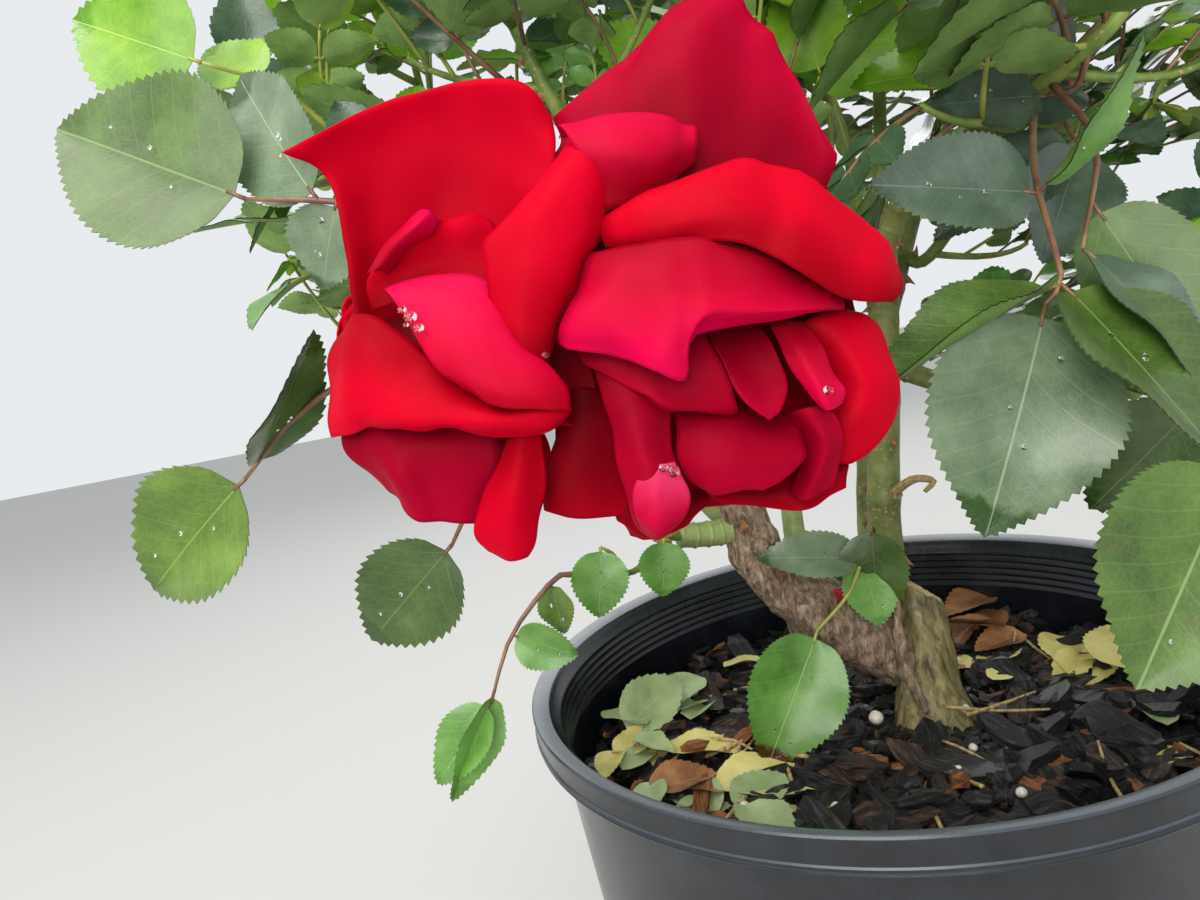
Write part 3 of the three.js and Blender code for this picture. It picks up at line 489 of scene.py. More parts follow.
# the leaves of the solids, and the many finer ones that fill in between them
coarse = {"leaf": 88, "leaflet": 64, "angle": 44, "internode": 52, "twigSpacing": 90, "twig": 74,
          "stemBare": 18, "twigBare": 26, "attempts": 13, "salt": 0}
fine = {"leaf": 66, "leaflet": 46, "angle": 50, "internode": 12, "twigSpacing": 20, "twig": 64,
        "stemBare": 24, "twigBare": 14, "attempts": 14, "salt": 5000}
# the turn from leaf to leaf, what changes at each new attempt, and how far apart leaflets can meet
growth = {"leafTurn": 137.5, "retryTurn": 51, "retryShrink": 0.06, "tipShrink": 0.3, "nearby": 130}


def stemOf(name):
    one = masses[name]
    path = Path(limbs[one["on"]]["points"])
    foot, tangent = path.point(one["at"]), path.tangent(one["at"])
    if one["at"] == 1:
        return Path([foot + tangent * 0.3, foot + tangent * 5] + one["points"])
    out = vec(*one["points"][0]) - foot
    out = unit(out - tangent * np.dot(out, tangent))
    return Path([foot + out * 2, foot + out * 12] + one["points"])


stems = {name: stemOf(name) for name in masses}


def shownPath(name, leaf):
    return Path([stems[name].pointAt(leaf["from"])] + leaf["path"])


def segmentsOf(lines):
    return np.array([[a, b] for line in lines for a, b in zip(line[:-1], line[1:])])


massSegments, massOwner = [], []
for name in masses:
    lines = [stems[name].spaced(8)]
    for leaf in shown.get(name, []):
        path = shownPath(name, leaf)
        lines.append(path.spaced(5))
        lines.extend([path.point(one[0]), vec(*one[1])] for one in leaf["leaflets"])
    found = segmentsOf(lines)
    massSegments.append(found)
    massOwner.extend([name] * len(found))
massSegments, massOwner = np.concatenate(massSegments), np.array(massOwner)
limbSegments = np.concatenate([segmentsOf([Path(one["points"]).spaced(10)]) for one in limbs.values()])
limbWide = np.concatenate([[max(one["radii"])] * 10 for one in limbs.values()])


def distances(points, segments):  # from every point to every segment
    a, ab = segments[:, 0], segments[:, 1] - segments[:, 0]
    away = points[:, None, :] - a[None]
    t = np.clip((away * ab).sum(2) / (ab * ab).sum(1), 0, 1)
    return np.linalg.norm(away - t[..., None] * ab, axis=2)


def fits(name, points):  # whether they all lie in the crown, nearer to this mass's stem than to any other
    points = np.atleast_2d(points)
    d = points - space["middle"]
    wide = d[:, 0] / np.where(d[:, 0] < 0, space["left"], space["right"])
    deep = d[:, 1] / np.where(d[:, 1] < 0, space["front"], space["back"])
    high = d[:, 2] / np.where(d[:, 2] < 0, space["down"], space["up"])
    skirt = mix(space["skirtFront"], space["skirtBack"], (np.clip(points[:, 1], 20, 120) - 20) / 100)
    if not ((wide ** 2 + deep ** 2 + high ** 2 < 1) & (points[:, 2] > skirt)).all():
        return False
    if name != "bloom_truss" and (np.linalg.norm(points - bloomMiddle, axis=1) < space["bloomKeep"]).any():
        return False
    if (distances(points, limbSegments) < limbWide + space["limbGap"]).any():
        return False
    far = distances(points, massSegments)
    own = far[:, massOwner == name].min(1)
    others = far[:, massOwner != name].min(1)
    return bool((others >= np.maximum(own + space["spaceGap"], space["stemRoom"])).all())


def frameAt(path, t):  # the way along a stalk, and the way a leaflet there faces
    along = path.tangent(t)
    side = unit(np.cross(along, zUp if abs(along[2]) < 0.95 else vec(0.1, -1, 0)))
    return along, np.cross(side, along)


def bladePoints(leaflet, places):
    side = np.cross(leaflet["face"], leaflet["along"])
    places = np.atleast_2d(places)
    return (leaflet["root"] + places[:, :1] * leaflet["length"] * leaflet["along"]
            + places[:, 1:2] * leaflet["width"] * side + places[:, 2:] * leaflet["length"] * leaflet["face"])


def compoundLeaf(foot, tangent, turn, size, roll, make):
    out = across(tangent, turn)
    a = math.radians(make["angle"])
    rise = tangent * math.cos(a) + out * math.sin(a)
    level = unit(rise * 0.7 + out * 0.5 + zUp * (-0.1 - 0.35 * roll()))
    half = make["leaf"] * size / 2
    elbow = foot + rise * half
    path = Path([foot, elbow, elbow + level * half], bow=True)
    leaflets = []
    for at, splay, part, wide in leafletPlan:
        root = path.point(at)
        along, face = frameAt(path, at)
        face = turned(face, along, 36 * (roll() - 0.5))
        along = turned(along, face, splay + 12 * (roll() - 0.5))
        along = unit(along + zUp * (-0.2 * roll()))
        face = unit(face - along * np.dot(face, along))
        length = make["leaflet"] * size * part * (0.88 + 0.2 * roll())
        leaflets.append({"root": root, "along": along, "face": face, "length": length,
                         "width": length * wide})
    return {"path": path, "leaflets": leaflets, "size": size}


def meets(leaflet, grown):  # whether it runs into a leaflet already there, looked at from both sides
    mine = bladePoints(leaflet, trial)
    near = [o for o in grown if np.linalg.norm(o["middle"] - leaflet["root"]) < growth["nearby"]]
    if not near:
        return False

    def inside(away, length, width):
        return ((np.abs(away[..., 2]) < space["leafletGap"]) & (np.abs(away[..., 1]) < width * 0.5)
                & (away[..., 0] > 2) & (away[..., 0] < length + 1)).any()
    axes = np.array([o["axes"] for o in near])
    away = mine[None] - np.array([o["root"] for o in near])[:, None]
    local = np.einsum("npk,nak->npa", away, axes)
    if inside(local, np.array([[o["length"]] for o in near]), np.array([[o["width"]] for o in near])):
        return True
    own = np.array([leaflet["along"], np.cross(leaflet["face"], leaflet["along"]), leaflet["face"]])
    theirs = np.array([o["trial"] for o in near]) - leaflet["root"]
    return inside(theirs @ own.T, leaflet["length"], leaflet["width"])


def leafletFits(name, leaflet, grown):
    return fits(name, bladePoints(leaflet, corners[1:])) and not meets(leaflet, grown)


def keep(leaf, leaves, grown):
    leaves.append(leaf)
    for one in leaf["leaflets"]:
        one["axes"] = [one["along"], np.cross(one["face"], one["along"]), one["face"]]
        one["trial"] = bladePoints(one, trial)
        one["middle"] = one["root"] + one["along"] * one["length"] * 0.5
        grown.append(one)


def growLeaf(name, shoot, u, turn, size, seed, leaves, grown, make):
    foot, tangent = shoot.pointAt(u), shoot.tangentAt(u)
    for attempt in range(make["attempts"]):
        roll = dice(seed * 10 + attempt + make["salt"])
        part = size * (1 - growth["retryShrink"] * attempt)
        leaf = compoundLeaf(foot, tangent, turn + attempt * growth["retryTurn"], part, roll, make)
        ways = np.array([leaf["path"].point(t) for t in (0.4, 0.7)])
        if not leafletFits(name, leaf["leaflets"][0], grown) or not fits(name, ways):
            continue
        leaf["leaflets"] = [one for one in leaf["leaflets"] if leafletFits(name, one, grown)]
        leaf["finer"] = make is fine
        keep(leaf, leaves, grown)
        return


def growShoot(name, shoot, seed, start, leaves, grown, make):
    count = max(1, int((shoot.length - start) / make["internode"]))
    for i in range(count + 1):
        u = min(0.985, (start + i * (shoot.length - start) / count) / shoot.length)
        turn, size = seed * 50 + i * growth["leafTurn"], 1 - growth["tipShrink"] * u * u
        growLeaf(name, shoot, u, turn, size, seed * 40 + i, leaves, grown, make)


def growTwigs(name, make):
    stem, seed = stems[name], masses[name]["seed"]
    count = int(stem.length / make["twigSpacing"])
    twigs = []
    for i in range(count):
        u = (i + 0.7) / (count + 0.5)
        foot, tangent = stem.pointAt(u), stem.tangentAt(u)
        for attempt in range(make["attempts"]):
            roll = dice(seed * 1000 + i * 10 + attempt + make["salt"])
            out = across(tangent, 360 * roll())
            reach = make["twig"] * (0.8 + 0.4 * roll()) * (1 - growth["tipShrink"] * u)
            elbow = foot + out * reach * 0.5 + tangent * reach * 0.25
            path = Path([foot, elbow, elbow + out * reach * 0.3 + zUp * reach * 0.3], bow=True)
            if all(fits(name, path.point(t)) for t in (0.35, 0.7, 1)):
                twigs.append(path)
                break
    return twigs


def shownLeaf(name, leaf):
    path, leaflets = shownPath(name, leaf), []
    for at, tip, width, turn, tone in leaf["leaflets"]:
        root = path.point(at)
        length, along = np.linalg.norm(vec(*tip) - root), unit(vec(*tip) - root)
        face = turned(vec(0, -1, 0.1), along, turn)
        face = unit(face - along * np.dot(face, along))
        leaflets.append({"root": root, "along": along, "face": face, "length": length, "width": width,
                         "tone": tone})
    return {"path": path, "leaflets": leaflets, "size": 1, "shown": True}


def grow(name):
    seed, stem, leaves, grown = masses[name]["seed"], stems[name], [], []
    for leaf in shown.get(name, []):
        keep(shownLeaf(name, leaf), leaves, grown)
    if masses[name].get("few"):
        leaves += [shownLeaf(name, leaf) for leaf in alsoShown.get(name, [])]
        return {"stem": stem, "twigs": [], "leaves": leaves}
    twigs = growTwigs(name, coarse)
    for make in (coarse, fine):
        if make is fine:
            twigs += growTwigs(name, fine)
            for leaf in alsoShown.get(name, []):
                keep(shownLeaf(name, leaf), leaves, grown)
        growShoot(name, stem, seed, make["stemBare"], leaves, grown, make)
        for i, path in enumerate(twigs):
            growShoot(name, path, seed + 100 * (i + 1), make["twigBare"], leaves, grown, make)
    return {"stem": stem, "twigs": twigs, "leaves": leaves}


sprays = {name: grow(name) for name in masses}
leafletTotal = sum(len(leaf["leaflets"]) for spray in sprays.values() for leaf in spray["leaves"])
print("grown:", sum(len(s["leaves"]) for s in sprays.values()), "leaves,", leafletTotal, "leaflets")

# the materials
# polypropylene, injection-moulded in a polished tool and weathered: black, semi-gloss, dusty and scuffed,
# with a painted reflection of the sky on its upward faces
potLook, tree, shader, place = newLook("polypropylene, black moulded", "#15171b", 0.24, 1.49,
                                       Specular_IOR_Level=0.5)
dust = addNode(tree, "ShaderNodeTexNoise", {"Scale": perMm(38), "Detail": 6, "Roughness": 0.7},
               {"Vector": place})
dustTint = addNode(tree, "ShaderNodeValToRGB", links={"Fac": dust.outputs["Fac"]},
                   stops=[(0.4, "#15181d"), (0.6, "#22262d"), (0.8, "#3c4047")])
# faces that look upward are mixed toward a pale blue-grey: a painted reflection of the sky on the rim's top
facing = addNode(tree, "ShaderNodeNewGeometry").outputs["Normal"]
upward = addNode(tree, "ShaderNodeSeparateXYZ", links={"Vector": facing}).outputs["Z"]
facingSky = addNode(tree, "ShaderNodeMapRange",
                  {"From Min": 0.55, "From Max": 0.95, "To Min": 0, "To Max": 0.75}, {"Value": upward})
paintedSkyTint = addNode(tree, "ShaderNodeMix", {7: colour("#56616c")},
                 {0: facingSky.outputs[0], 6: dustTint.outputs[0]}, data_type="RGBA")
tree.links.new(paintedSkyTint.outputs[2], shader.inputs["Base Color"])
dustRough = addNode(tree, "ShaderNodeMapRange", {"To Min": 0.1, "To Max": 0.42},
                    {"Value": dust.outputs["Fac"]})
tree.links.new(dustRough.outputs[0], shader.inputs["Roughness"])
scuffs = addNode(tree, "ShaderNodeTexNoise", {"Scale": perMm(2.2), "Detail": 4}, {"Vector": place})
addRelief(tree, shader, scuffs.outputs["Fac"], 0.15, 0.15)

# composted bark and peat, sieved: near black, matt, crumbly
mixLook, tree, shader, place = newLook("potting mix, crumbled", "#1a1614", 0.95)
crumbs = addNode(tree, "ShaderNodeTexVoronoi", {"Scale": perMm(3.5)}, {"Vector": place})
crumbTint = addNode(tree, "ShaderNodeValToRGB", links={"Fac": crumbs.outputs["Distance"]},
                    stops=[(0.0, "#2a211c"), (0.4, "#1a1513"), (0.9, "#0c0a0a")])
tree.links.new(crumbTint.outputs[0], shader.inputs["Base Color"])
addRelief(tree, shader, crumbs.outputs["Distance"], 1.0, 2.5)


# bark or wood with a grain of this many millimetres, drawn out along z by its stretch
def woodLook(name, dark, middle, light, grain, stretch, rough, depth, wet=0.0):
    look, tree, shader, place = newLook(name, middle, rough, 1.45, Coat_Weight=wet, Coat_Roughness=0.25)
    run = addNode(tree, "ShaderNodeMapping", {"Scale": (perMm(grain), perMm(grain), perMm(grain * stretch))},
                  {"Vector": place})
    fibre = addNode(tree, "ShaderNodeTexNoise",
                    {"Scale": 1, "Detail": 8, "Roughness": 0.68, "Distortion": 0.4},
                    {"Vector": run.outputs[0]})
    tint = addNode(tree, "ShaderNodeValToRGB", links={"Fac": fibre.outputs["Fac"]},
                   stops=[(0.34, dark), (0.5, middle), (0.66, light)])
    tree.links.new(tint.outputs[0], shader.inputs["Base Color"])
    addRelief(tree, shader, fibre.outputs["Fac"], 0.8, depth)
    return look


stumpLook = woodLook("rose bark, streaked and damp", "#3b3322", "#7d7448", "#a39a66", 2.6, 7, 0.62, 0.8, 0.25)
boughLook = woodLook("old rose bark, gnarled", "#46362b", "#86705c", "#b4a28c", 1.9, 2.6, 0.82, 0.8)
cutLook = woodLook("sawn rose wood, weathered", "#8b7348", "#c9b07a", "#ddcb9a", 1.6, 5, 0.8, 0.4)


# a bark chip: its fibres run along it, by the millimetres marked on its points
def chipLook(name, dark, middle, light, rough, depth, wet=0.0):
    look, tree, shader, _ = newLook(name, middle, rough, 1.45, Coat_Weight=wet, Coat_Roughness=0.25)
    onChip = addNode(tree, "ShaderNodeUVMap", uv_map="place")
    run = addNode(tree, "ShaderNodeMapping", {"Scale": (0.1, 0.7, 1)}, {"Vector": onChip.outputs[0]})
    fibre = addNode(tree, "ShaderNodeTexNoise",
                    {"Scale": 1, "Detail": 6, "Roughness": 0.7, "Distortion": 0.3},
                    {"Vector": run.outputs[0]})
    tint = addNode(tree, "ShaderNodeValToRGB", links={"Fac": fibre.outputs["Fac"]},
                   stops=[(0.36, dark), (0.52, middle), (0.7, light)])
    tree.links.new(tint.outputs[0], shader.inputs["Base Color"])
    addRelief(tree, shader, fibre.outputs["Fac"], 1.0, depth)
    return look


chipLooks = [
    chipLook("pine bark chip, black and damp", "#050506", "#111012", "#56555a", 0.52, 2.2, 0.25),
    chipLook("pine bark chip, brown", "#120d0b", "#38281f", "#7a6250", 0.7, 1.4),
    chipLook("pine bark chip, orange inner face", "#3c2214", "#8a5632", "#b98350", 0.75, 0.8),
]
stalkLook = woodLook("dry leaf stalk", "#7a5f3c", "#b49a6a", "#cdb98b", 1.5, 4, 0.7, 0.2)


# a thin skin with cloudy tints, from one end of its colours to the other, and a fine relief
def skinLook(name, dark, light, patchSize, rough, depth, **sockets):
    look, tree, shader, place = newLook(name, light, rough, 1.45, **sockets)
    patch = addNode(tree, "ShaderNodeTexNoise", {"Scale": perMm(patchSize), "Detail": 5, "Roughness": 0.6},
                    {"Vector": place})
    tint = addNode(tree, "ShaderNodeValToRGB", links={"Fac": patch.outputs["Fac"]},
                   stops=[(0.35, dark), (0.65, light)])
    tree.links.new(tint.outputs[0], shader.inputs["Base Color"])
    addRelief(tree, shader, patch.outputs["Fac"], 0.5, depth)
    return look


prillLook = skinLook("fertiliser prill, coated", "#cfc7b2", "#ece8dc", 0.9, 0.35, 0.15, Coat_Weight=0.4)
thornLook = skinLook("rose prickle, dried", "#7c4c34", "#b98460", 1.6, 0.5, 0.2)
budLook = skinLook("dormant bud, red", "#8c1424", "#c62a3a", 1.8, 0.4, 0.2, Coat_Weight=0.3)


# rose cane, green bark with a waxy bloom and tan specks that the air comes in by
def caneLook(name, dark, middle, light):
    look, tree, shader, place = newLook(name, middle, 0.5, 1.45, Coat_Weight=0.15, Coat_Roughness=0.35)
    patch = addNode(tree, "ShaderNodeTexNoise", {"Scale": perMm(16), "Detail": 5, "Roughness": 0.65},
                    {"Vector": place})
    ground = addNode(tree, "ShaderNodeValToRGB", links={"Fac": patch.outputs["Fac"]},
                     stops=[(0.36, dark), (0.52, middle), (0.7, light)])
    specks = addNode(tree, "ShaderNodeTexVoronoi", {"Scale": perMm(2.6), "Randomness": 1.0},
                     {"Vector": place})
    speckMask = addNode(tree, "ShaderNodeMapRange",
                        {"From Min": 0.16, "From Max": 0.28, "To Min": 1, "To Max": 0},
                        {"Value": specks.outputs["Distance"]})
    tan = addNode(tree, "ShaderNodeMix", {7: colour("#a98d63")},
                  {0: speckMask.outputs[0], 6: ground.outputs[0]}, data_type="RGBA")
    tree.links.new(tan.outputs[2], shader.inputs["Base Color"])
    addRelief(tree, shader, speckMask.outputs[0], 0.35, 0.3)
    return look


caneBark = caneLook("rose cane, ripened green", "#5c6136", "#7b8746", "#98a05c")
paleCane = caneLook("rose cane, light green", "#6f8746", "#93a862", "#a9ba7c")
shootLook = caneLook("rose shoot, soft green", "#57702f", "#7a9240", "#94a556")
redStalk = skinLook("leaf stalk, flushed red", "#6c4238", "#8c6f4c", 9, 0.45, 0.1, Coat_Weight=0.2)
limeStalk = skinLook("leaf stalk, yellow-green", "#8d9140", "#a9b455", 9, 0.45, 0.1, Coat_Weight=0.2)


# rose leaf: a waxy skin that shines at grazing light, a pale midrib, sunken side veins and a fine net
def leafLook(name, dark, middle, light, vein, rough, wax, through, wetTip=0.8, tipTint=None):
    look, tree, shader, place = newLook(name, middle, rough, 1.45, Coat_Weight=wax, Coat_Roughness=0.2,
                                        Subsurface_Weight=through, Subsurface_Scale=0.002)
    shader.inputs["Subsurface Radius"].default_value = (0.4, 1.0, 0.2)
    onLeaf = addNode(tree, "ShaderNodeUVMap", uv_map="place")
    parts = addNode(tree, "ShaderNodeSeparateXYZ", links={"Vector": onLeaf.outputs[0]})
    aside = addNode(tree, "ShaderNodeMath", {1: 0.5}, {0: parts.outputs["Y"]}, operation="SUBTRACT")
    away = addNode(tree, "ShaderNodeMath", links={0: aside.outputs[0]}, operation="ABSOLUTE")
    bend = addNode(tree, "ShaderNodeMath", {1: 0.8}, {0: away.outputs[0]}, operation="POWER")
    lag = addNode(tree, "ShaderNodeMath", {1: 0.5}, {0: bend.outputs[0]}, operation="MULTIPLY")
    rise = addNode(tree, "ShaderNodeMath", links={0: parts.outputs["X"], 1: lag.outputs[0]},
                   operation="SUBTRACT")
    count = addNode(tree, "ShaderNodeMath", {1: 16.0}, {0: rise.outputs[0]}, operation="MULTIPLY")
    wave = addNode(tree, "ShaderNodeMath", {1: 1.0}, {0: count.outputs[0]}, operation="PINGPONG")
    side = addNode(tree, "ShaderNodeMapRange", {"From Min": 0.0, "From Max": 0.13, "To Min": 1, "To Max": 0},
                   {"Value": wave.outputs[0]})
    rib = addNode(tree, "ShaderNodeMapRange",
                  {"From Min": 0.003, "From Max": 0.011, "To Min": 1, "To Max": 0},
                  {"Value": away.outputs[0]})
    net = addNode(tree, "ShaderNodeTexVoronoi", {"Scale": perMm(1.7)}, {"Vector": place},
                  feature="DISTANCE_TO_EDGE")
    mesh = addNode(tree, "ShaderNodeMapRange",
                   {"From Min": 0.0, "From Max": 0.12, "To Min": 0.1, "To Max": 0},
                   {"Value": net.outputs["Distance"]})
    faint = addNode(tree, "ShaderNodeMath", {1: 0.18}, {0: side.outputs[0]}, operation="MULTIPLY")
    strong = addNode(tree, "ShaderNodeMath", {1: 0.6}, {0: rib.outputs[0]}, operation="MULTIPLY")
    main = addNode(tree, "ShaderNodeMath", links={0: faint.outputs[0], 1: strong.outputs[0]},
                   operation="MAXIMUM")
    veins = addNode(tree, "ShaderNodeMath", links={0: main.outputs[0], 1: mesh.outputs[0]},
                    operation="MAXIMUM")
    patch = addNode(tree, "ShaderNodeTexNoise", {"Scale": perMm(14), "Detail": 6, "Roughness": 0.62},
                    {"Vector": place})
    ground = addNode(tree, "ShaderNodeValToRGB", links={"Fac": patch.outputs["Fac"]},
                     stops=[(0.3, dark), (0.5, middle), (0.72, light)])
    tint = addNode(tree, "ShaderNodeMix", {7: colour(vein)},
                   {0: veins.outputs[0], 6: ground.outputs[0]}, data_type="RGBA")
    spot = addNode(tree, "ShaderNodeTexNoise", {"Scale": perMm(11), "Detail": 7, "Roughness": 0.75},
                   {"Vector": place})
    rust = addNode(tree, "ShaderNodeMapRange",
                   {"From Min": 0.62, "From Max": 0.72, "To Min": 0, "To Max": 0.6},
                   {"Value": spot.outputs["Fac"]})
    aged = addNode(tree, "ShaderNodeMix", {7: colour("#5a4038")},
                   {0: rust.outputs[0], 6: tint.outputs[2]}, data_type="RGBA")
    pool = addNode(tree, "ShaderNodeMath", {1: 0.5, 2: -0.25}, {0: patch.outputs["Fac"]},
                   operation="MULTIPLY_ADD")
    reach = addNode(tree, "ShaderNodeMath", links={0: parts.outputs["X"], 1: pool.outputs[0]},
                    operation="ADD")
    # rain gathers at the tip, where the skin is darker and shines
    soaked = addNode(tree, "ShaderNodeMapRange",
                     {"From Min": 0.83, "From Max": 0.9, "To Min": 0, "To Max": wetTip},
                     {"Value": reach.outputs[0]})
    damp = addNode(tree, "ShaderNodeMix", {7: colour(tipTint or dark)},
                   {0: soaked.outputs[0], 6: aged.outputs[2]}, data_type="RGBA")
    tree.links.new(damp.outputs[2], shader.inputs["Base Color"])
    wear = addNode(tree, "ShaderNodeMapRange", {"To Min": rough - 0.1, "To Max": rough + 0.14},
                   {"Value": patch.outputs["Fac"]})
    shine = addNode(tree, "ShaderNodeMix", {3: 0.06}, {0: soaked.outputs[0], 2: wear.outputs[0]},
                    data_type="FLOAT")
    tree.links.new(shine.outputs[0], shader.inputs["Roughness"])
    quilt = addNode(tree, "ShaderNodeMath", {1: -0.8}, {0: veins.outputs[0]}, operation="MULTIPLY")
    addRelief(tree, shader, quilt.outputs[0], 0.6, 0.5)
    return look


leafTones = {
    "dark": leafLook("rose leaf, old and glossy", "#26402a", "#355238", "#49664a", "#6f8a63",
                     0.34, 0.5, 0.05),
    "slate": leafLook("rose leaf, old and blue-green", "#34443a", "#445647", "#586b5b", "#75876e",
                      0.34, 0.55, 0.05),
    "dusty": leafLook("rose leaf, dusty bloom", "#4c6146", "#63765a", "#7c8e71", "#95a580",
                      0.4, 0.45, 0.05, 0.9, "#2c4620"),
    "olive": leafLook("rose leaf, olive", "#33491a", "#445f22", "#5b7636", "#84985a", 0.46, 0.25, 0.08, 0.2),
    "deep": leafLook("rose leaf, shaded green", "#2b3f15", "#3b521b", "#50682c", "#73884a", 0.38, 0.4, 0.08),
    "moss": leafLook("rose leaf, yellow-green", "#3f5a12", "#516d1a", "#6b8630", "#8fa552", 0.4, 0.4, 0.12),
    "mid": leafLook("rose leaf, mid green", "#47722a", "#5b8a38", "#74a04e", "#96b86a", 0.38, 0.4, 0.12),
    "tipped": leafLook("rose leaf, dried brown at its tip", "#47722a", "#5b8a38", "#74a04e", "#96b86a",
                       0.38, 0.4, 0.12, 1, "#4e3018"),
    # the lime tone is young leaves' own yellow-green, made lighter as a painted glow of backlight through
    # them
    "lime": leafLook("rose leaf, young and thin", "#50800a", "#68960e", "#86ae24", "#a4c040",
                     0.42, 0.25, 0.26),
}
undersides = {
    "dark": leafLook("rose leaf underside", "#567438", "#6e8e46", "#88a45c", "#a3ac78", 0.6, 0.0, 0.05, 0),
    "lime": leafLook("young leaf underside", "#7f9c2c", "#97b23e", "#adc455", "#c2d070", 0.55, 0.0, 0.2, 0),
}


# rose petal: velvet of tiny cone cells, so it glows magenta at grazing light and goes dark in its folds; its
# colour runs from painted shade at the foot to a painted highlight at the lip
def petalLook(name, deep, full, bright, gloss):
    look, tree, shader, place = newLook(name, full, 0.52, 1.4, Specular_IOR_Level=gloss,
                                        Sheen_Weight=0.12, Sheen_Roughness=0.35,
                                        Subsurface_Weight=0.1, Subsurface_Scale=0.002)
    shader.inputs["Sheen Tint"].default_value = colour("#ff0048")
    shader.inputs["Subsurface Radius"].default_value = (1.0, 0.1, 0.15)
    onPetal = addNode(tree, "ShaderNodeUVMap", uv_map="place")
    parts = addNode(tree, "ShaderNodeSeparateXYZ", links={"Vector": onPetal.outputs[0]})
    cloud = addNode(tree, "ShaderNodeTexNoise", {"Scale": perMm(14), "Detail": 3, "Roughness": 0.5},
                    {"Vector": place})
    shift = addNode(tree, "ShaderNodeMath", {1: 0.7, 2: -0.35}, {0: cloud.outputs["Fac"]},
                    operation="MULTIPLY_ADD")
    shadeToHighlight = addNode(tree, "ShaderNodeMath", links={0: parts.outputs["X"], 1: shift.outputs[0]},
                   operation="ADD")
    # deep at the foot is painted shade, bright at the lip is a painted highlight
    tint = addNode(tree, "ShaderNodeValToRGB", links={"Fac": shadeToHighlight.outputs[0]},
                   stops=[(0.0, deep), (0.5, full), (1.0, bright)])
    tree.links.new(tint.outputs[0], shader.inputs["Base Color"])
    lines = addNode(tree, "ShaderNodeMapping", {"Scale": (2, 45, 1)}, {"Vector": onPetal.outputs[0]})
    grain = addNode(tree, "ShaderNodeTexNoise", {"Scale": 1, "Detail": 3}, {"Vector": lines.outputs[0]})
    addRelief(tree, shader, grain.outputs["Fac"], 0.15, 0.3)
    return look


petalLooks = {
    "crimson": petalLook("rose petal, crimson velvet", "#84000e", "#ae001a", "#bc0020", 0.04),
    "scarlet": petalLook("rose petal, scarlet velvet", "#8c0010", "#b4001c", "#c00022", 0.05),
    # magenta is partly the rose's own bluer red and partly painted sheen; blush paints that sheen at the
    # petal's foot, fading to its own red; pale paints a pale reflection at the foot
    "magenta": petalLook("rose petal, magenta sheen", "#8c0018", "#ae002a", "#c40040", 0.08),
    "blush": petalLook("rose petal, painted magenta sheen fading to red", "#c80a40", "#b4002c", "#a20018", 0.08),
    # dusky is a darker red for petals in shade and deep a dark red for sheets in the shadowed heart of the
    # bloom: both painted shade
    "dusky": petalLook("rose petal, red in painted shade", "#6c0014", "#8a001c", "#9c0026", 0.05),
    "deep": petalLook("rose petal, painted shade deep in the bloom", "#4c0008", "#74000e", "#8c0014", 0.04),
    "pale": petalLook("rose petal, painted pale reflection at its rolled foot", "#b8305c", "#ac0030", "#a00028", 0.1),
}
sepalLook = skinLook("sepal, downy green", "#4f6c30", "#7a9450", 2.5, 0.6, 0.25, Sheen_Weight=0.3)
# rain water: clear, with faint ripples where it hangs together
dropLook, tree, shader, place = newLook("rain water, clear", "#ffffff", 0.02, 1.333, Transmission_Weight=1.0)
ripple = addNode(tree, "ShaderNodeTexNoise", {"Scale": perMm(1.5), "Detail": 1}, {"Vector": place})
addRelief(tree, shader, ripple.outputs["Fac"], 0.1, 0.1)
fallenTones = [
    leafLook("fallen leaf, pale green", "#7f9460", "#9aae7a", "#b2c290", "#c4cf9f", 0.6, 0.1, 0.05, 0),
    leafLook("fallen leaf, yellow", "#b5aa58", "#d2c877", "#e2da95", "#ebe5b0", 0.65, 0.0, 0.1, 0),
    leafLook("fallen leaf, brown and dry", "#5f3a22", "#8c5c38", "#b0835a", "#c09a70", 0.8, 0.0, 0.0, 0),
]
print("materials made")

# leaves
blade = {"plans": {12: 0.07, 18: 0.085, 30: 0.055}, "far": 12, "large": 44, "fold": 0.22, "droop": 0.13,
         "ruffle": 0.025, "twist": 0.25, "solidShare": 0.88, "finerShare": 0.96, "stalk": 0.06, "thick": 0.28}


# a serrated, pointed oval: points as (along, across) and its faces
def bladeTemplate(stations, teeth):
    xs = [mix(i / stations, 0.5 - 0.5 * math.cos(math.pi * i / stations), 0.45) for i in range(stations + 1)]
    # full at its foot, pointed at its tip
    half = [math.sin(math.pi * x ** 0.82) ** (0.5 + 0.45 * x) if 0 < x < 1 else 0.0 for x in xs]
    points, faces = [], []
    for x, h in zip(xs, half):
        points.extend((x, h * s) for s in (-1, -0.5, 0, 0.5, 1))
    for i in range(stations):
        a, b = 5 * i, 5 * i + 5
        for j in range(4):
            faces.append((a + j, b + j, b + j + 1, a + j + 1))
        if i == 0 or i == stations - 1:
            continue
        for j, s in ((0, -1), (4, 1)):  # one tooth a station on each edge, pointing forward
            points.append((xs[i + 1], (mix(half[i], half[i + 1], 0.75) + teeth) * s))
            tip = len(points) - 1
            faces.append((a + j, tip, b + j) if s < 0 else (a + j, b + j, tip))
    return np.array(points), faces


bladePlans = {count: bladeTemplate(count, teeth) for count, teeth in blade["plans"].items()}


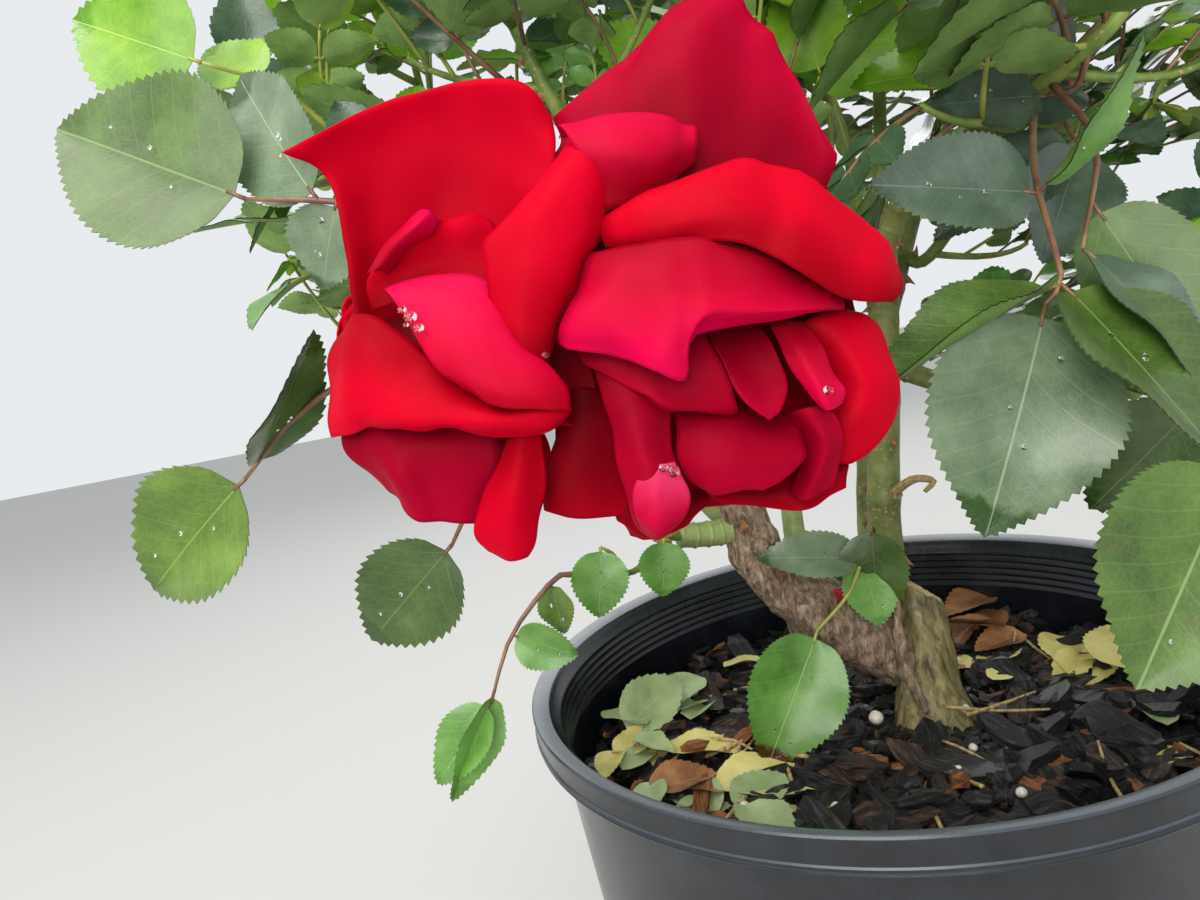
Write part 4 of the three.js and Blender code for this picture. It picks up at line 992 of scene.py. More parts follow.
def addBlade(target, leaflet, look, under, roll, share=1.0, close=False):
    plan, faces = bladePlans[(30 if leaflet["length"] > blade["large"] else 18) if close else blade["far"]]
    x, y = plan[:, 0], plan[:, 1]
    fold = blade["fold"] * (0.4 + 1.1 * roll())
    droop = blade["droop"] * (0.2 + 1.6 * roll())
    phase, twist = 6.28 * roll(), blade["twist"] * (roll() - 0.5)
    z = fold * np.abs(y) * 0.4 - droop * x ** 2 + blade["ruffle"] * np.abs(y) * np.sin(9 * x + phase + 2 * y)
    z = z + twist * x * y * 0.35 - 0.02 * (1 - np.abs(y)) * np.sin(3.14 * x)
    length, width = leaflet["length"] * share, leaflet["width"] * share
    start = blade["stalk"] * length
    side = np.cross(leaflet["face"], leaflet["along"])
    x = x - 0.03 * y * y * np.sin(3.14 * x)
    points = (leaflet["root"] + np.outer(start + x * (length - start), leaflet["along"])
              + np.outer(y * width * 0.5, side) + np.outer(z * length, leaflet["face"]))
    marks = np.stack([plan[:, 0], 0.5 + 0.5 * plan[:, 1]], 1)
    target.add(points, faces, look, marks)
    if under is not None:
        points = points - leaflet["face"] * blade["thick"]
        target.add(points, [tuple(reversed(f)) for f in faces], under, marks)


leafBins = {"leaves_top": ("top_",), "leaves_right": ("right_", "front_right"),
            "leaves_left": ("left_", "front_left"), "leaves_back": ("back_",),
            "leaves_front": ("bloom_", "low_leaf", "hanging")}
binOf = {name: next(key for key, starts in leafBins.items() if name.startswith(starts)) for name in masses}
leafPieces = {key: Bin() for key in leafBins}
stalks, shoots = Bin(), Bin()
prickles, buds = Bin(), Bin()
prickleShape = {"shootGap": 17, "shootSize": (3.2, 1.6), "caneGap": 15, "caneSize": (3.4, 2.6),
                "boughSize": 5.5}


def addPrickle(target, foot, out, along, length, look):  # a broad-based hooked prickle
    side = np.cross(out, along)
    base = [foot + along * (1.0 * length * s) + side * (0.34 * length * c) - out * 0.8
            for s, c in ((0.62, 0), (0, 1), (-0.62, 0), (0, -1))]
    middle = [foot + out * length * 0.45 - along * length * 0.1 + (p - foot) * 0.4 for p in base]
    tip = foot + out * length - along * length * 0.45
    faces = [(i, (i + 1) % 4, 4 + (i + 1) % 4, 4 + i) for i in range(4)]
    faces += [(4 + i, 4 + (i + 1) % 4, 8) for i in range(4)]
    target.add(base + middle + [tip], faces, look)


# the brightness toward the top is partly the young leaves' own yellow-green and partly a painted glow of
# light through them
def toneOf(leaf, roll):  # young and bright toward the top, older and darker below
    foot = leaf["path"].points[0]
    high = (foot[2] - 380) / 220 + 0.35 * (roll() - 0.5)
    pick = roll()
    if leaf.get("shown"):
        return "dark"
    if high > 0.34 or (leaf.get("finer") and pick > 0.88):
        return "lime" if pick > 0.45 else "mid"
    return "dark" if pick < 0.4 else "dusty" if pick < 0.43 else "olive" if pick < 0.68 else "mid"


for name, spray in sprays.items():
    target = leafPieces[binOf[name]]
    for number, leaf in enumerate(spray["leaves"]):
        roll = dice(masses[name]["seed"] * 7919 + number)
        tone = toneOf(leaf, roll)
        share = blade["finerShare"] if leaf.get("finer") else blade["solidShare"]
        if leaf.get("shown"):
            share = 1.0
        for one in leaf["leaflets"]:
            tone = one.get("tone", tone)
            under = undersides["lime" if tone == "lime" else "dark"]
            addBlade(target, one, leafTones[tone], under, roll, share, close=bool(leaf.get("shown")))
        thick, thin = 1.15 * leaf["size"] + 0.1, 0.55
        look = limeStalk if tone in ("lime", "mid", "tipped") else redStalk
        stalks.add(*tube(leaf["path"], [thick, (thick + thin) / 2, thin], 5, 9), look)
        for one in leaf["leaflets"]:  # each leaflet's own little stalk
            tip = one["root"] + one["along"] * one["length"] * share * 0.1
            way = Path([one["root"], (one["root"] + tip) / 2, tip], bow=True)
            stalks.add(*tube(way, [0.6, 0.45], 4, 3), look)
    thick = masses[name].get("thick", 3.2)
    radii = [thick * part for part in (1, 0.85, 0.62, 0.4)]
    stem = spray["stem"]
    shoots.add(*tube(stem, radii, 10, max(8, int(stem.length / 6))), shootLook)
    for path in spray["twigs"]:
        shoots.add(*tube(path, [1.7, 1.35, 0.9], 7, 9), shootLook)
    roll = dice(masses[name]["seed"] * 31 + 5)
    small, more = prickleShape["shootSize"]
    for i in range(int(stem.length / prickleShape["shootGap"])):
        t = 0.06 + 0.86 * roll()
        out = across(stem.tangent(t), 360 * roll())
        foot = stem.point(t) + out * radiusAt(radii, t) * 0.9
        addPrickle(prickles, foot, out, stem.tangent(t), small + more * roll(), thornLook)

# trunk, old bough and canes
woodShape = {"flare": 1.2, "flareHigh": 14, "cutSlant": 38, "cutMiddle": (24, 22, 232), "splinters": 9,
             "knots": [(-22, 10, 239, 3.4), (-33, 9, 261, 3.0), (-38, 12, 274, 3.6), (-8, 9, 226, 3.2),
                       (2, 8, 222, 2.6)]}
# relief of the bark, coarse and fine, as pattern size, depth and how far it is drawn out along z
barkRelief = {"stump": [(4.5, 1.0, 5), (14, 1.3, 2)], "bough": [(3.0, 0.5, 2.5), (10, 1.7, 1.3)],
              "cane": [(9, 0.25, 2)]}


def roughness(p, kind):
    return sum(depth * noise.fractal(Vector((p[0] / size, p[1] / size, p[2] / (size * streak))), 0.9, 2.1, 4)
               for size, depth, streak in barkRelief[kind])


def limbMesh(target, name, look, sides, rings, relief):
    one = limbs[name]
    path = Path(one["points"])
    guide = guideFor(path.point(1) - path.point(0))
    points = []
    for i in range(rings):
        t = i / (rings - 1)
        r = radiusAt(one["radii"], t)
        middle, tangent = path.point(t), path.tangent(t)
        for j in range(sides):
            out = across(tangent, 360 * j / sides, guide)
            p = middle + out * r
            points.append(p + out * relief(p, t, 360 * j / sides))
    target.add(points, ringFaces(rings, sides), look)
    return path


stump, bough, canes = Bin(), Bin(), Bin()


def stumpRelief(p, t, turn):
    foot = max(0.0, 1 - (p[2] - mulchLevel) / woodShape["flareHigh"])  # the flare at the ground
    lobes = 1 + 0.5 * math.sin(math.radians(3 * turn + 40))
    return roughness(p, "stump") + foot ** 2 * woodShape["flare"] * lobes


def boughRelief(p, t, turn):
    knots = max(0.0, noise.noise(Vector(p / 9.0 + 7))) ** 1.4 * 5
    return roughness(p, "bough") + knots * 0.7 - 0.4


limbMesh(stump, "stump", stumpLook, 56, 90, stumpRelief)
limbMesh(bough, "old_bough", boughLook, 56, 120, boughRelief)
# the saw cut: what stands above the slanting plane is laid back on it, with torn fibres at its high side
slant = math.radians(woodShape["cutSlant"])
cutNormal, cutMiddle = vec(math.sin(slant), 0, math.cos(slant)), vec(*woodShape["cutMiddle"])
stumpPoints = stump.points[0]
above = (stumpPoints - cutMiddle) @ cutNormal
torn = np.array([0.9 * noise.noise(Vector(p / 2.2)) for p in stumpPoints])
stump.points[0] = np.where(above[:, None] > 0, stumpPoints - np.outer(above + torn, cutNormal), stumpPoints)
stump.looks = [cutLook if all(above[k] > 0.3 for k in face) else stumpLook for face in stump.faces]
for i in range(woodShape["splinters"]):
    roll = dice(900 + i)
    foot = cutMiddle + vec(-8.5 + 5 * roll(), -6 + 9 * roll(), 6.2)
    tip = foot + vec(-0.6, -0.4, 3 + 6 * roll())
    stump.add(*tube(Path([foot - zUp * 6, foot, tip]), [1.6, 1.1, 0.1], 5, 6), cutLook)


def ridgeSwell(t, turn):
    return 1 + 0.35 * noise.noise(Vector((t * 9, turn / 60, 1)))


ridge = Path([(11, 0, 236), (9, -1, 224), (10, -2, 208), (14, -3, 193)])  # the bark's torn edge by the bough
stump.add(*tube(ridge, [0.6, 1.9, 2.3, 1.2], 8, 40, ridgeSwell), boughLook)
for x, y, z, r in woodShape["knots"]:  # healed knots and old leaf scars
    knot = Path([(x, y + 6, z), (x, y, z), (x - 0.5, y - r * 0.8, z + 0.5)])
    bough.add(*tube(knot, [r * 1.3, r, r * 0.25], 14, 12,
                    lambda t, turn: 1 + 0.25 * noise.noise(Vector((t * 5, turn / 40, r)))), boughLook)

caneLooks = {"left_cane": paleCane, "green_stub": paleCane, "back_cane": paleCane}


def caneRelief(p, t, turn):
    return roughness(p, "cane") + 0.5 * max(0.0, math.cos(2 * math.pi * t * 5)) ** 14  # five nodes


for number, name in enumerate(list(limbs)[2:]):
    path = limbMesh(canes, name, caneLooks.get(name, caneBark), 20, 70, caneRelief)
    radii = limbs[name]["radii"]
    roll = dice(4000 + number)
    small, more = prickleShape["caneSize"]
    for i in range(int(path.length / prickleShape["caneGap"])):
        t = 0.1 + 0.85 * roll()
        out = across(path.tangent(t), 360 * roll())
        foot = path.point(t) + out * radiusAt(radii, t) * 0.94
        addPrickle(prickles, foot, out, path.tangent(t), small + more * roll(), thornLook)
for spot, out in (((-27, 10, 249), (-0.3, -1, 0.4)), ((-8, 8, 227), (0.2, -1, 0.6)),
                  ((-38, 9, 270), (-0.5, -0.9, 0.2))):
    addPrickle(prickles, vec(*spot), unit(vec(*out)), zUp, prickleShape["boughSize"], thornLook)
bud = Path([(-5.5, 11, 237), (-7.6, 6, 239.5), (-11, 3, 243)])
buds.add(*tube(bud, [2.6, 2.4, 0.2], 10, 9), budLook)
# a dried stalk at the cane's node
node = Path([(26, 31, 266), (26, 29, 268), (30, 20, 273), (35, 15, 272), (31, 14, 269)])
prickles.add(*tube(node, [2.6, 1.8, 1.3, 0.9], 8, 14), stalkLook)

# the pot
potShape = {"height": 225, "rim": 125, "lip": 118.4, "band": 9, "wallTop": 117.8, "wallFoot": 103,
            "thick": 1.9, "floor": 3.2, "sides": 160, "innerRings": 6,
            "lugFrom": -60, "lugTo": 16, "lug": 128.6, "lugUp": 2.6,
            "holes": 8, "holeWide": 17, "holeReach": (92, 116),
            "holeOutline": [(-1, -6), (1, -6), (1, 5), (0.7, 8), (0, 9), (-0.7, 8), (-1, 5)]}


def wallAt(z):  # the wall's outside radius at a height
    high = potShape["height"] - potShape["band"]
    return potShape["wallFoot"] + (potShape["wallTop"] - potShape["wallFoot"]) * z / high


def potProfile():  # up the outside, over the rim and down the inside, as radius and height
    top, rim, lip, thick, foot = (potShape[key] for key in ("height", "rim", "lip", "thick", "wallFoot"))
    out = [(0, 0.8), (foot - 9, 0.8), (foot - 8, 0), (foot - 3, 0), (foot - 0.9, 1.0)]
    out += [(wallAt(z), z) for z in (4, 60, 120, 180, top - 16)]
    out += [(wallAt(top - 12) + 0.6, top - 12.4), (wallAt(top - 12) + 2.2, top - 11)]
    # two fine beads round the foot of the band
    for z, r in ((-10.6, -1.6), (-10.3, -0.7), (-9.8, -0.35), (-9.3, -0.5), (-9, -0.9),
                 (-8.7, -0.5), (-8.3, 0), (-7.8, 0), (-7.4, -0.5)):
        out.append((rim + r, top + z))
    out += [(rim - 0.5, top - 2.6), (rim - 0.25, top - 1.5), (rim - 0.3, top - 0.5), (rim - 0.8, top),
            (rim - 1.6, top - 0.1), (lip + 1.6, top - 1.2), (lip + 0.5, top - 1.7), (lip - 0.2, top - 2.8),
            (lip - 0.7, top - 4.4)]
    for i in range(potShape["innerRings"]):  # fine rings moulded inside the wall below the rim
        z = top - 6 - 3 * i
        out += [(wallAt(z) - thick - 0.2, z), (wallAt(z) - thick - 0.7, z - 1),
                (wallAt(z) - thick - 0.2, z - 2)]
    out += [(wallAt(z) - thick, z) for z in (150, 60, 8)]
    out += [(foot - thick - 3, potShape["floor"]), (0, potShape["floor"])]
    return out


potBin = Bin()
profile = potProfile()
sides = potShape["sides"]
points = []
for r, z in profile:
    for j in range(sides):
        a = 2 * math.pi * j / sides
        azimuth = (math.degrees(a) + 180) % 360 - 180
        onLug = min(1, max(0, min(azimuth - potShape["lugFrom"], potShape["lugTo"] - azimuth) / 1.6))
        wide, high = r, z
        # the lug stands a little above and outside the rim
        if r > potShape["lip"] + 0.2 and z > potShape["height"] - 12:
            wide = r + onLug * (potShape["lug"] - potShape["rim"]) * (1 if r > 121 else 0)
            high = z + onLug * (potShape["lugUp"] if z > potShape["height"] - 3 else -2.2 if r > 121 else 0)
        points.append((wide * math.cos(a), wide * math.sin(a), high))
potBin.add(points, ringFaces(len(profile), sides, caps=False), potLook)
potPiece = makePiece("nursery_pot", potBin, ["pot"])
holeBin = Bin()
for i in range(potShape["holes"]):
    a = (i + 0.5) * 2 * math.pi / potShape["holes"]
    out, side = vec(math.cos(a), math.sin(a), 0), vec(-math.sin(a), math.cos(a), 0)
    ring = [out * r + side * s * potShape["holeWide"] / 2 + zUp * z
            for r in potShape["holeReach"] for s, z in potShape["holeOutline"]]
    holeBin.add(ring, ringFaces(2, len(potShape["holeOutline"])), potLook)
cutter = makePiece("drain_holes", holeBin)
cut = potPiece.modifiers.new("drain holes", "BOOLEAN")
cut.object, cut.operation, cut.solver = cutter, "DIFFERENCE", "EXACT"
depsgraph = bpy.context.evaluated_depsgraph_get()
cutMesh = bpy.data.meshes.new_from_object(potPiece.evaluated_get(depsgraph))
potPiece.modifiers.clear()
potPiece.data = cutMesh
bpy.data.objects.remove(cutter)
potPiece.data.set_sharp_from_angle(angle=math.radians(32))

# potting mix, bark chips and what has fallen on them
mixShape = {"bump": 3.2, "pad": 38, "foot": (19, 8), "bare": 15, "small": 30, "rings": 44, "sides": 96,
            "bottom": 4, "chips": 1900, "fines": 1500, "leaves": 46, "leavesLeft": 26,
            "stalks": 34, "stalksLeft": 22, "prills": 9}
# the heights that the mix and what lies on it stand at, before its lumps
lieAt = {"mix": 185.4, "chips": 186.2, "leaves": 190.5, "topLeaves": 195.5, "stalks": 191.5, "prills": 189.4}


def fromFoot(x, y):  # how far it lies from the stump
    return math.hypot(x - mixShape["foot"][0], y - mixShape["foot"][1])


def lump(x, y):
    wave = math.sin(x * 0.11 + 1.3) * math.cos(y * 0.13) + 0.7 * math.sin(x * 0.23 - y * 0.19)
    away = fromFoot(x, y) - mixShape["pad"]
    return 0 if away < 0 else mixShape["bump"] * wave * min(1, away / mixShape["pad"])


mixBin = Bin()
edge, bottom = wallAt(mulchLevel) - 2.6, mixShape["bottom"]
points, rings, sides = [], mixShape["rings"], mixShape["sides"]
for i in range(rings + 1):
    for j in range(sides):
        a = 2 * math.pi * j / sides
        x, y = edge * i / rings * math.cos(a), edge * i / rings * math.sin(a)
        points.append((x, y, lieAt["mix"] + lump(x, y) + 1.2 * noise.noise(Vector((x / 5, y / 5, 0)))))
for j in range(sides):
    a, r = 2 * math.pi * j / sides, wallAt(bottom) * 0.97
    points.append((r * math.cos(a), r * math.sin(a), bottom))
faces = ringFaces(rings + 2, sides, caps=False)
faces.append(tuple(reversed(range((rings + 1) * sides, (rings + 2) * sides))))
mixBin.add(points, faces, mixLook)
makePiece("potting_mix", mixBin, ["mulch"])

random.seed(20)
chipBin = Bin()


def addChip(x, y, z, long, wide, thick, look):  # a split, blocky flake of bark
    spin, tip, rock = random.uniform(0, 6.28), random.gauss(0, 0.3), random.gauss(0, 0.4)
    turn = Matrix.Rotation(spin, 3, "Z") @ Matrix.Rotation(tip, 3, "Y") @ Matrix.Rotation(rock, 3, "X")
    points, marks, count = [], [], 5
    start = random.uniform(0, 400)
    skew = random.uniform(-0.35, 0.35)
    for layer in (-1, 1):
        for i in range(count):
            for s in (-1, 1):
                t = i / (count - 1) * 2 - 1
                w = wide * (0.5 + 0.5 * (1 - abs(t) ** 4)) * random.uniform(0.75, 1.1)
                h = layer * thick * random.uniform(0.5, 1.1) * (1 - 0.35 * t * t)
                points.append((t * long * random.uniform(0.9, 1.05) + skew * s * wide, s * w, h))
                marks.append((t * long + start, s * w + 1.5 * h + start))
    points = [Vector((x, y, z)) + turn @ Vector(p) for p in points]
    faces, half = [], 2 * count
    for i in range(count - 1):
        a, b = 2 * i, 2 * i + 2
        faces += [(a, a + 1, b + 1, b), (half + a, half + b, half + b + 1, half + a + 1),
                  (a, b, half + b, half + a), (a + 1, half + a + 1, half + b + 1, b + 1)]
    faces += [(0, half, half + 1, 1), (half - 2, half - 1, 2 * half - 1, 2 * half - 2)]
    chipBin.add([tuple(p) for p in points], faces, look, marks)


for i in range(mixShape["chips"] + mixShape["fines"]):
    fineOne = i >= mixShape["chips"]
    r, a = (edge - 4) * math.sqrt(random.random()), random.uniform(0, 2 * math.pi)
    x, y = r * math.cos(a), r * math.sin(a)
    if fromFoot(x, y) < mixShape["bare"]:
        continue
    long = random.uniform(1.2, 3.2) if fineOne else min(13, random.lognormvariate(1.6, 0.42))
    if fromFoot(x, y) < mixShape["small"]:  # small ones round the stump's foot
        long *= 0.5
    look = random.choices(chipLooks, [0.72, 0.2, 0.08])[0]
    z = lieAt["chips"] + lump(x, y) + random.uniform(-0.8, 1.8) + (0.3 * long if not fineOne else 0)
    reach = edge - math.hypot(x, y)
    if reach < long:
        long = max(1.2, reach)
    slim = 0.5 if look is chipLooks[2] else 1
    wide = long * random.uniform(0.34, 0.62) * slim
    addChip(x, y, z, long, wide, min(2.6, long * random.uniform(0.16, 0.42)), look)
makePiece("bark_chips", chipBin, smooth=False)
print("mulch made")

fallenBin, litterBin = Bin(), Bin()


def addFallen(x, y, z, heading, length, look, curl, tilt=0.25):
    if math.hypot(x + length * math.cos(heading), y + length * math.sin(heading)) > edge - 6:
        heading = math.atan2(-y, -x) + 0.8 * math.sin(heading)  # turned in from the wall
    roll = dice(int(abs(x * 91 + y * 57)) + 3)
    along = unit(vec(math.cos(heading), math.sin(heading), tilt * (roll() - 0.4)))
    face = unit(zUp + vec(roll() - 0.5, roll() - 0.5, 0) * tilt * 2)
    face = unit(face - along * np.dot(face, along))
    leaflet = {"root": vec(x, y, z), "along": along, "face": face, "length": length,
               "width": length * 0.62 * curl}
    addBlade(fallenBin, leaflet, look, None, roll)


for i in range(mixShape["leaves"]):  # most lie inside the left wall and inside the back wall
    left = i < mixShape["leavesLeft"]
    a = math.radians(random.gauss(196, 24) if left else random.gauss(40, 38))
    r = random.uniform(0.62, 0.93) * edge if left else random.uniform(0.35, 0.93) * edge
    look = random.choices(fallenTones, [0.6, 0.28, 0.12] if left else [0.1, 0.35, 0.55])[0]
    x, y = r * math.cos(a), r * math.sin(a)
    z = lieAt["leaves"] + lump(x, y) + random.uniform(0, 4)
    addFallen(x, y, z, random.uniform(0, 6.28), random.uniform(16, 32), look, random.uniform(0.7, 1))
# the ones on top, as place, heading, length and tone
for x, y, heading, long, tone in (
        (-100, 46, 5.2, 30, 0), (-84, 36, 0.4, 32, 0), (-92, 62, 2.4, 26, 0), (-70, 24, 1.0, 30, 0),
        (-60, 54, 4.0, 26, 0), (-86, 8, 5.8, 36, 1), (-50, 66, 0.2, 24, 1), (70, 46, 2.6, 30, 2),
        (84, 36, 4.4, 32, 1), (80, 84, 3.6, 30, 2), (62, 74, 5.6, 28, 2), (86, -6, 1.2, 34, 1)):
    addFallen(x, y, lieAt["topLeaves"] + lump(x, y), heading, long, fallenTones[tone], 1.0, 0.35)
addFallen(-96, 22, 196, 1.9, 34, fallenTones[0], 1.0, 1.0)
addFallen(-70, -30, 195, 0.1, 42, fallenTones[1], 1.0, 0.1)
addFallen(94, 20, 192, 0.5, 36, fallenTones[1], 0.9)
for i in range(mixShape["stalks"]):
    if i < mixShape["stalksLeft"]:
        a, r = random.gauss(3.4, 0.7), random.uniform(0.4, 0.9) * edge
    else:
        a, r = random.uniform(0, 6.28), random.uniform(0.3, 0.9) * edge
    x, y, heading, long = r * math.cos(a), r * math.sin(a), random.uniform(0, 6.28), random.uniform(9, 34)
    ends = [vec(x, y, 0) + vec(math.cos(heading), math.sin(heading), 0) * long * s for s in (-0.5, 0, 0.5)]
    if max(math.hypot(p[0], p[1]) for p in ends) > edge - 1:
        continue
    line = []
    for p in ends:
        z = lieAt["stalks"] + lump(p[0], p[1]) + random.uniform(0, 2.5)
        line.append(p + vec(0, random.uniform(-2, 2), z))
    litterBin.add(*tube(Path(line), [0.75, 0.6, 0.45], 5, 9), stalkLook)
prills = [(-3, 2, 1.6), (-33, -49, 1)]
prills += [(random.uniform(-80, 80), random.uniform(-80, 80), 1) for _ in range(mixShape["prills"])]
for x, y, big in prills:
    r = random.uniform(1.5, 2.1) * big
    ball = Path([(x, y, lieAt["prills"] + lump(x, y) + 2 * r * t) for t in (0, 0.5, 1)])
    litterBin.add(*tube(ball, [r], 12, 9, lambda t, turn: max(0.05, math.sin(math.pi * t)) ** 0.6), prillLook)

# the two blooms: every petal is a thin cupped sheet through a few lines of points
bloomShape = {"lean": 10.9, "nod": 7.3, "distance": 176, "drop": 30, "rows": 24, "columns": 24, "thick": 0.4,
              "ruffle": 1.0, "creases": [(14, 2.6), (6, 0.9)], "rolled": 0.3,
              "hearts": [(-27, -10, -6), (24, -10, -8)],
              "outerTurns": [(80, 135, 190, 250), (95, 40, -15, -75)], "outerLength": 25, "outerWidth": 34,
              "sepals": 5, "sepalLength": 21, "sepalWidth": 5.5}
lean, nod = math.radians(bloomShape["lean"]), math.radians(bloomShape["nod"])
bloomRight = vec(math.cos(lean), -math.sin(lean) * math.sin(nod), -math.sin(lean) * math.cos(nod))
bloomUp = vec(math.sin(lean), math.cos(lean) * math.sin(nod), math.cos(lean) * math.cos(nod))
bloomFront = np.cross(bloomRight, bloomUp)


def bloomPoint(p):
    return bloomMiddle + bloomRight * p[0] + bloomUp * p[1] + bloomFront * p[2]


# right and up as they are seen from the bloom's distance, and how far it stands toward the viewer
def seenPoint(p):
    near = 1 - p[2] / bloomShape["distance"]
    return bloomPoint((p[0] * near, (p[1] + bloomShape["drop"]) * near - bloomShape["drop"], p[2]))


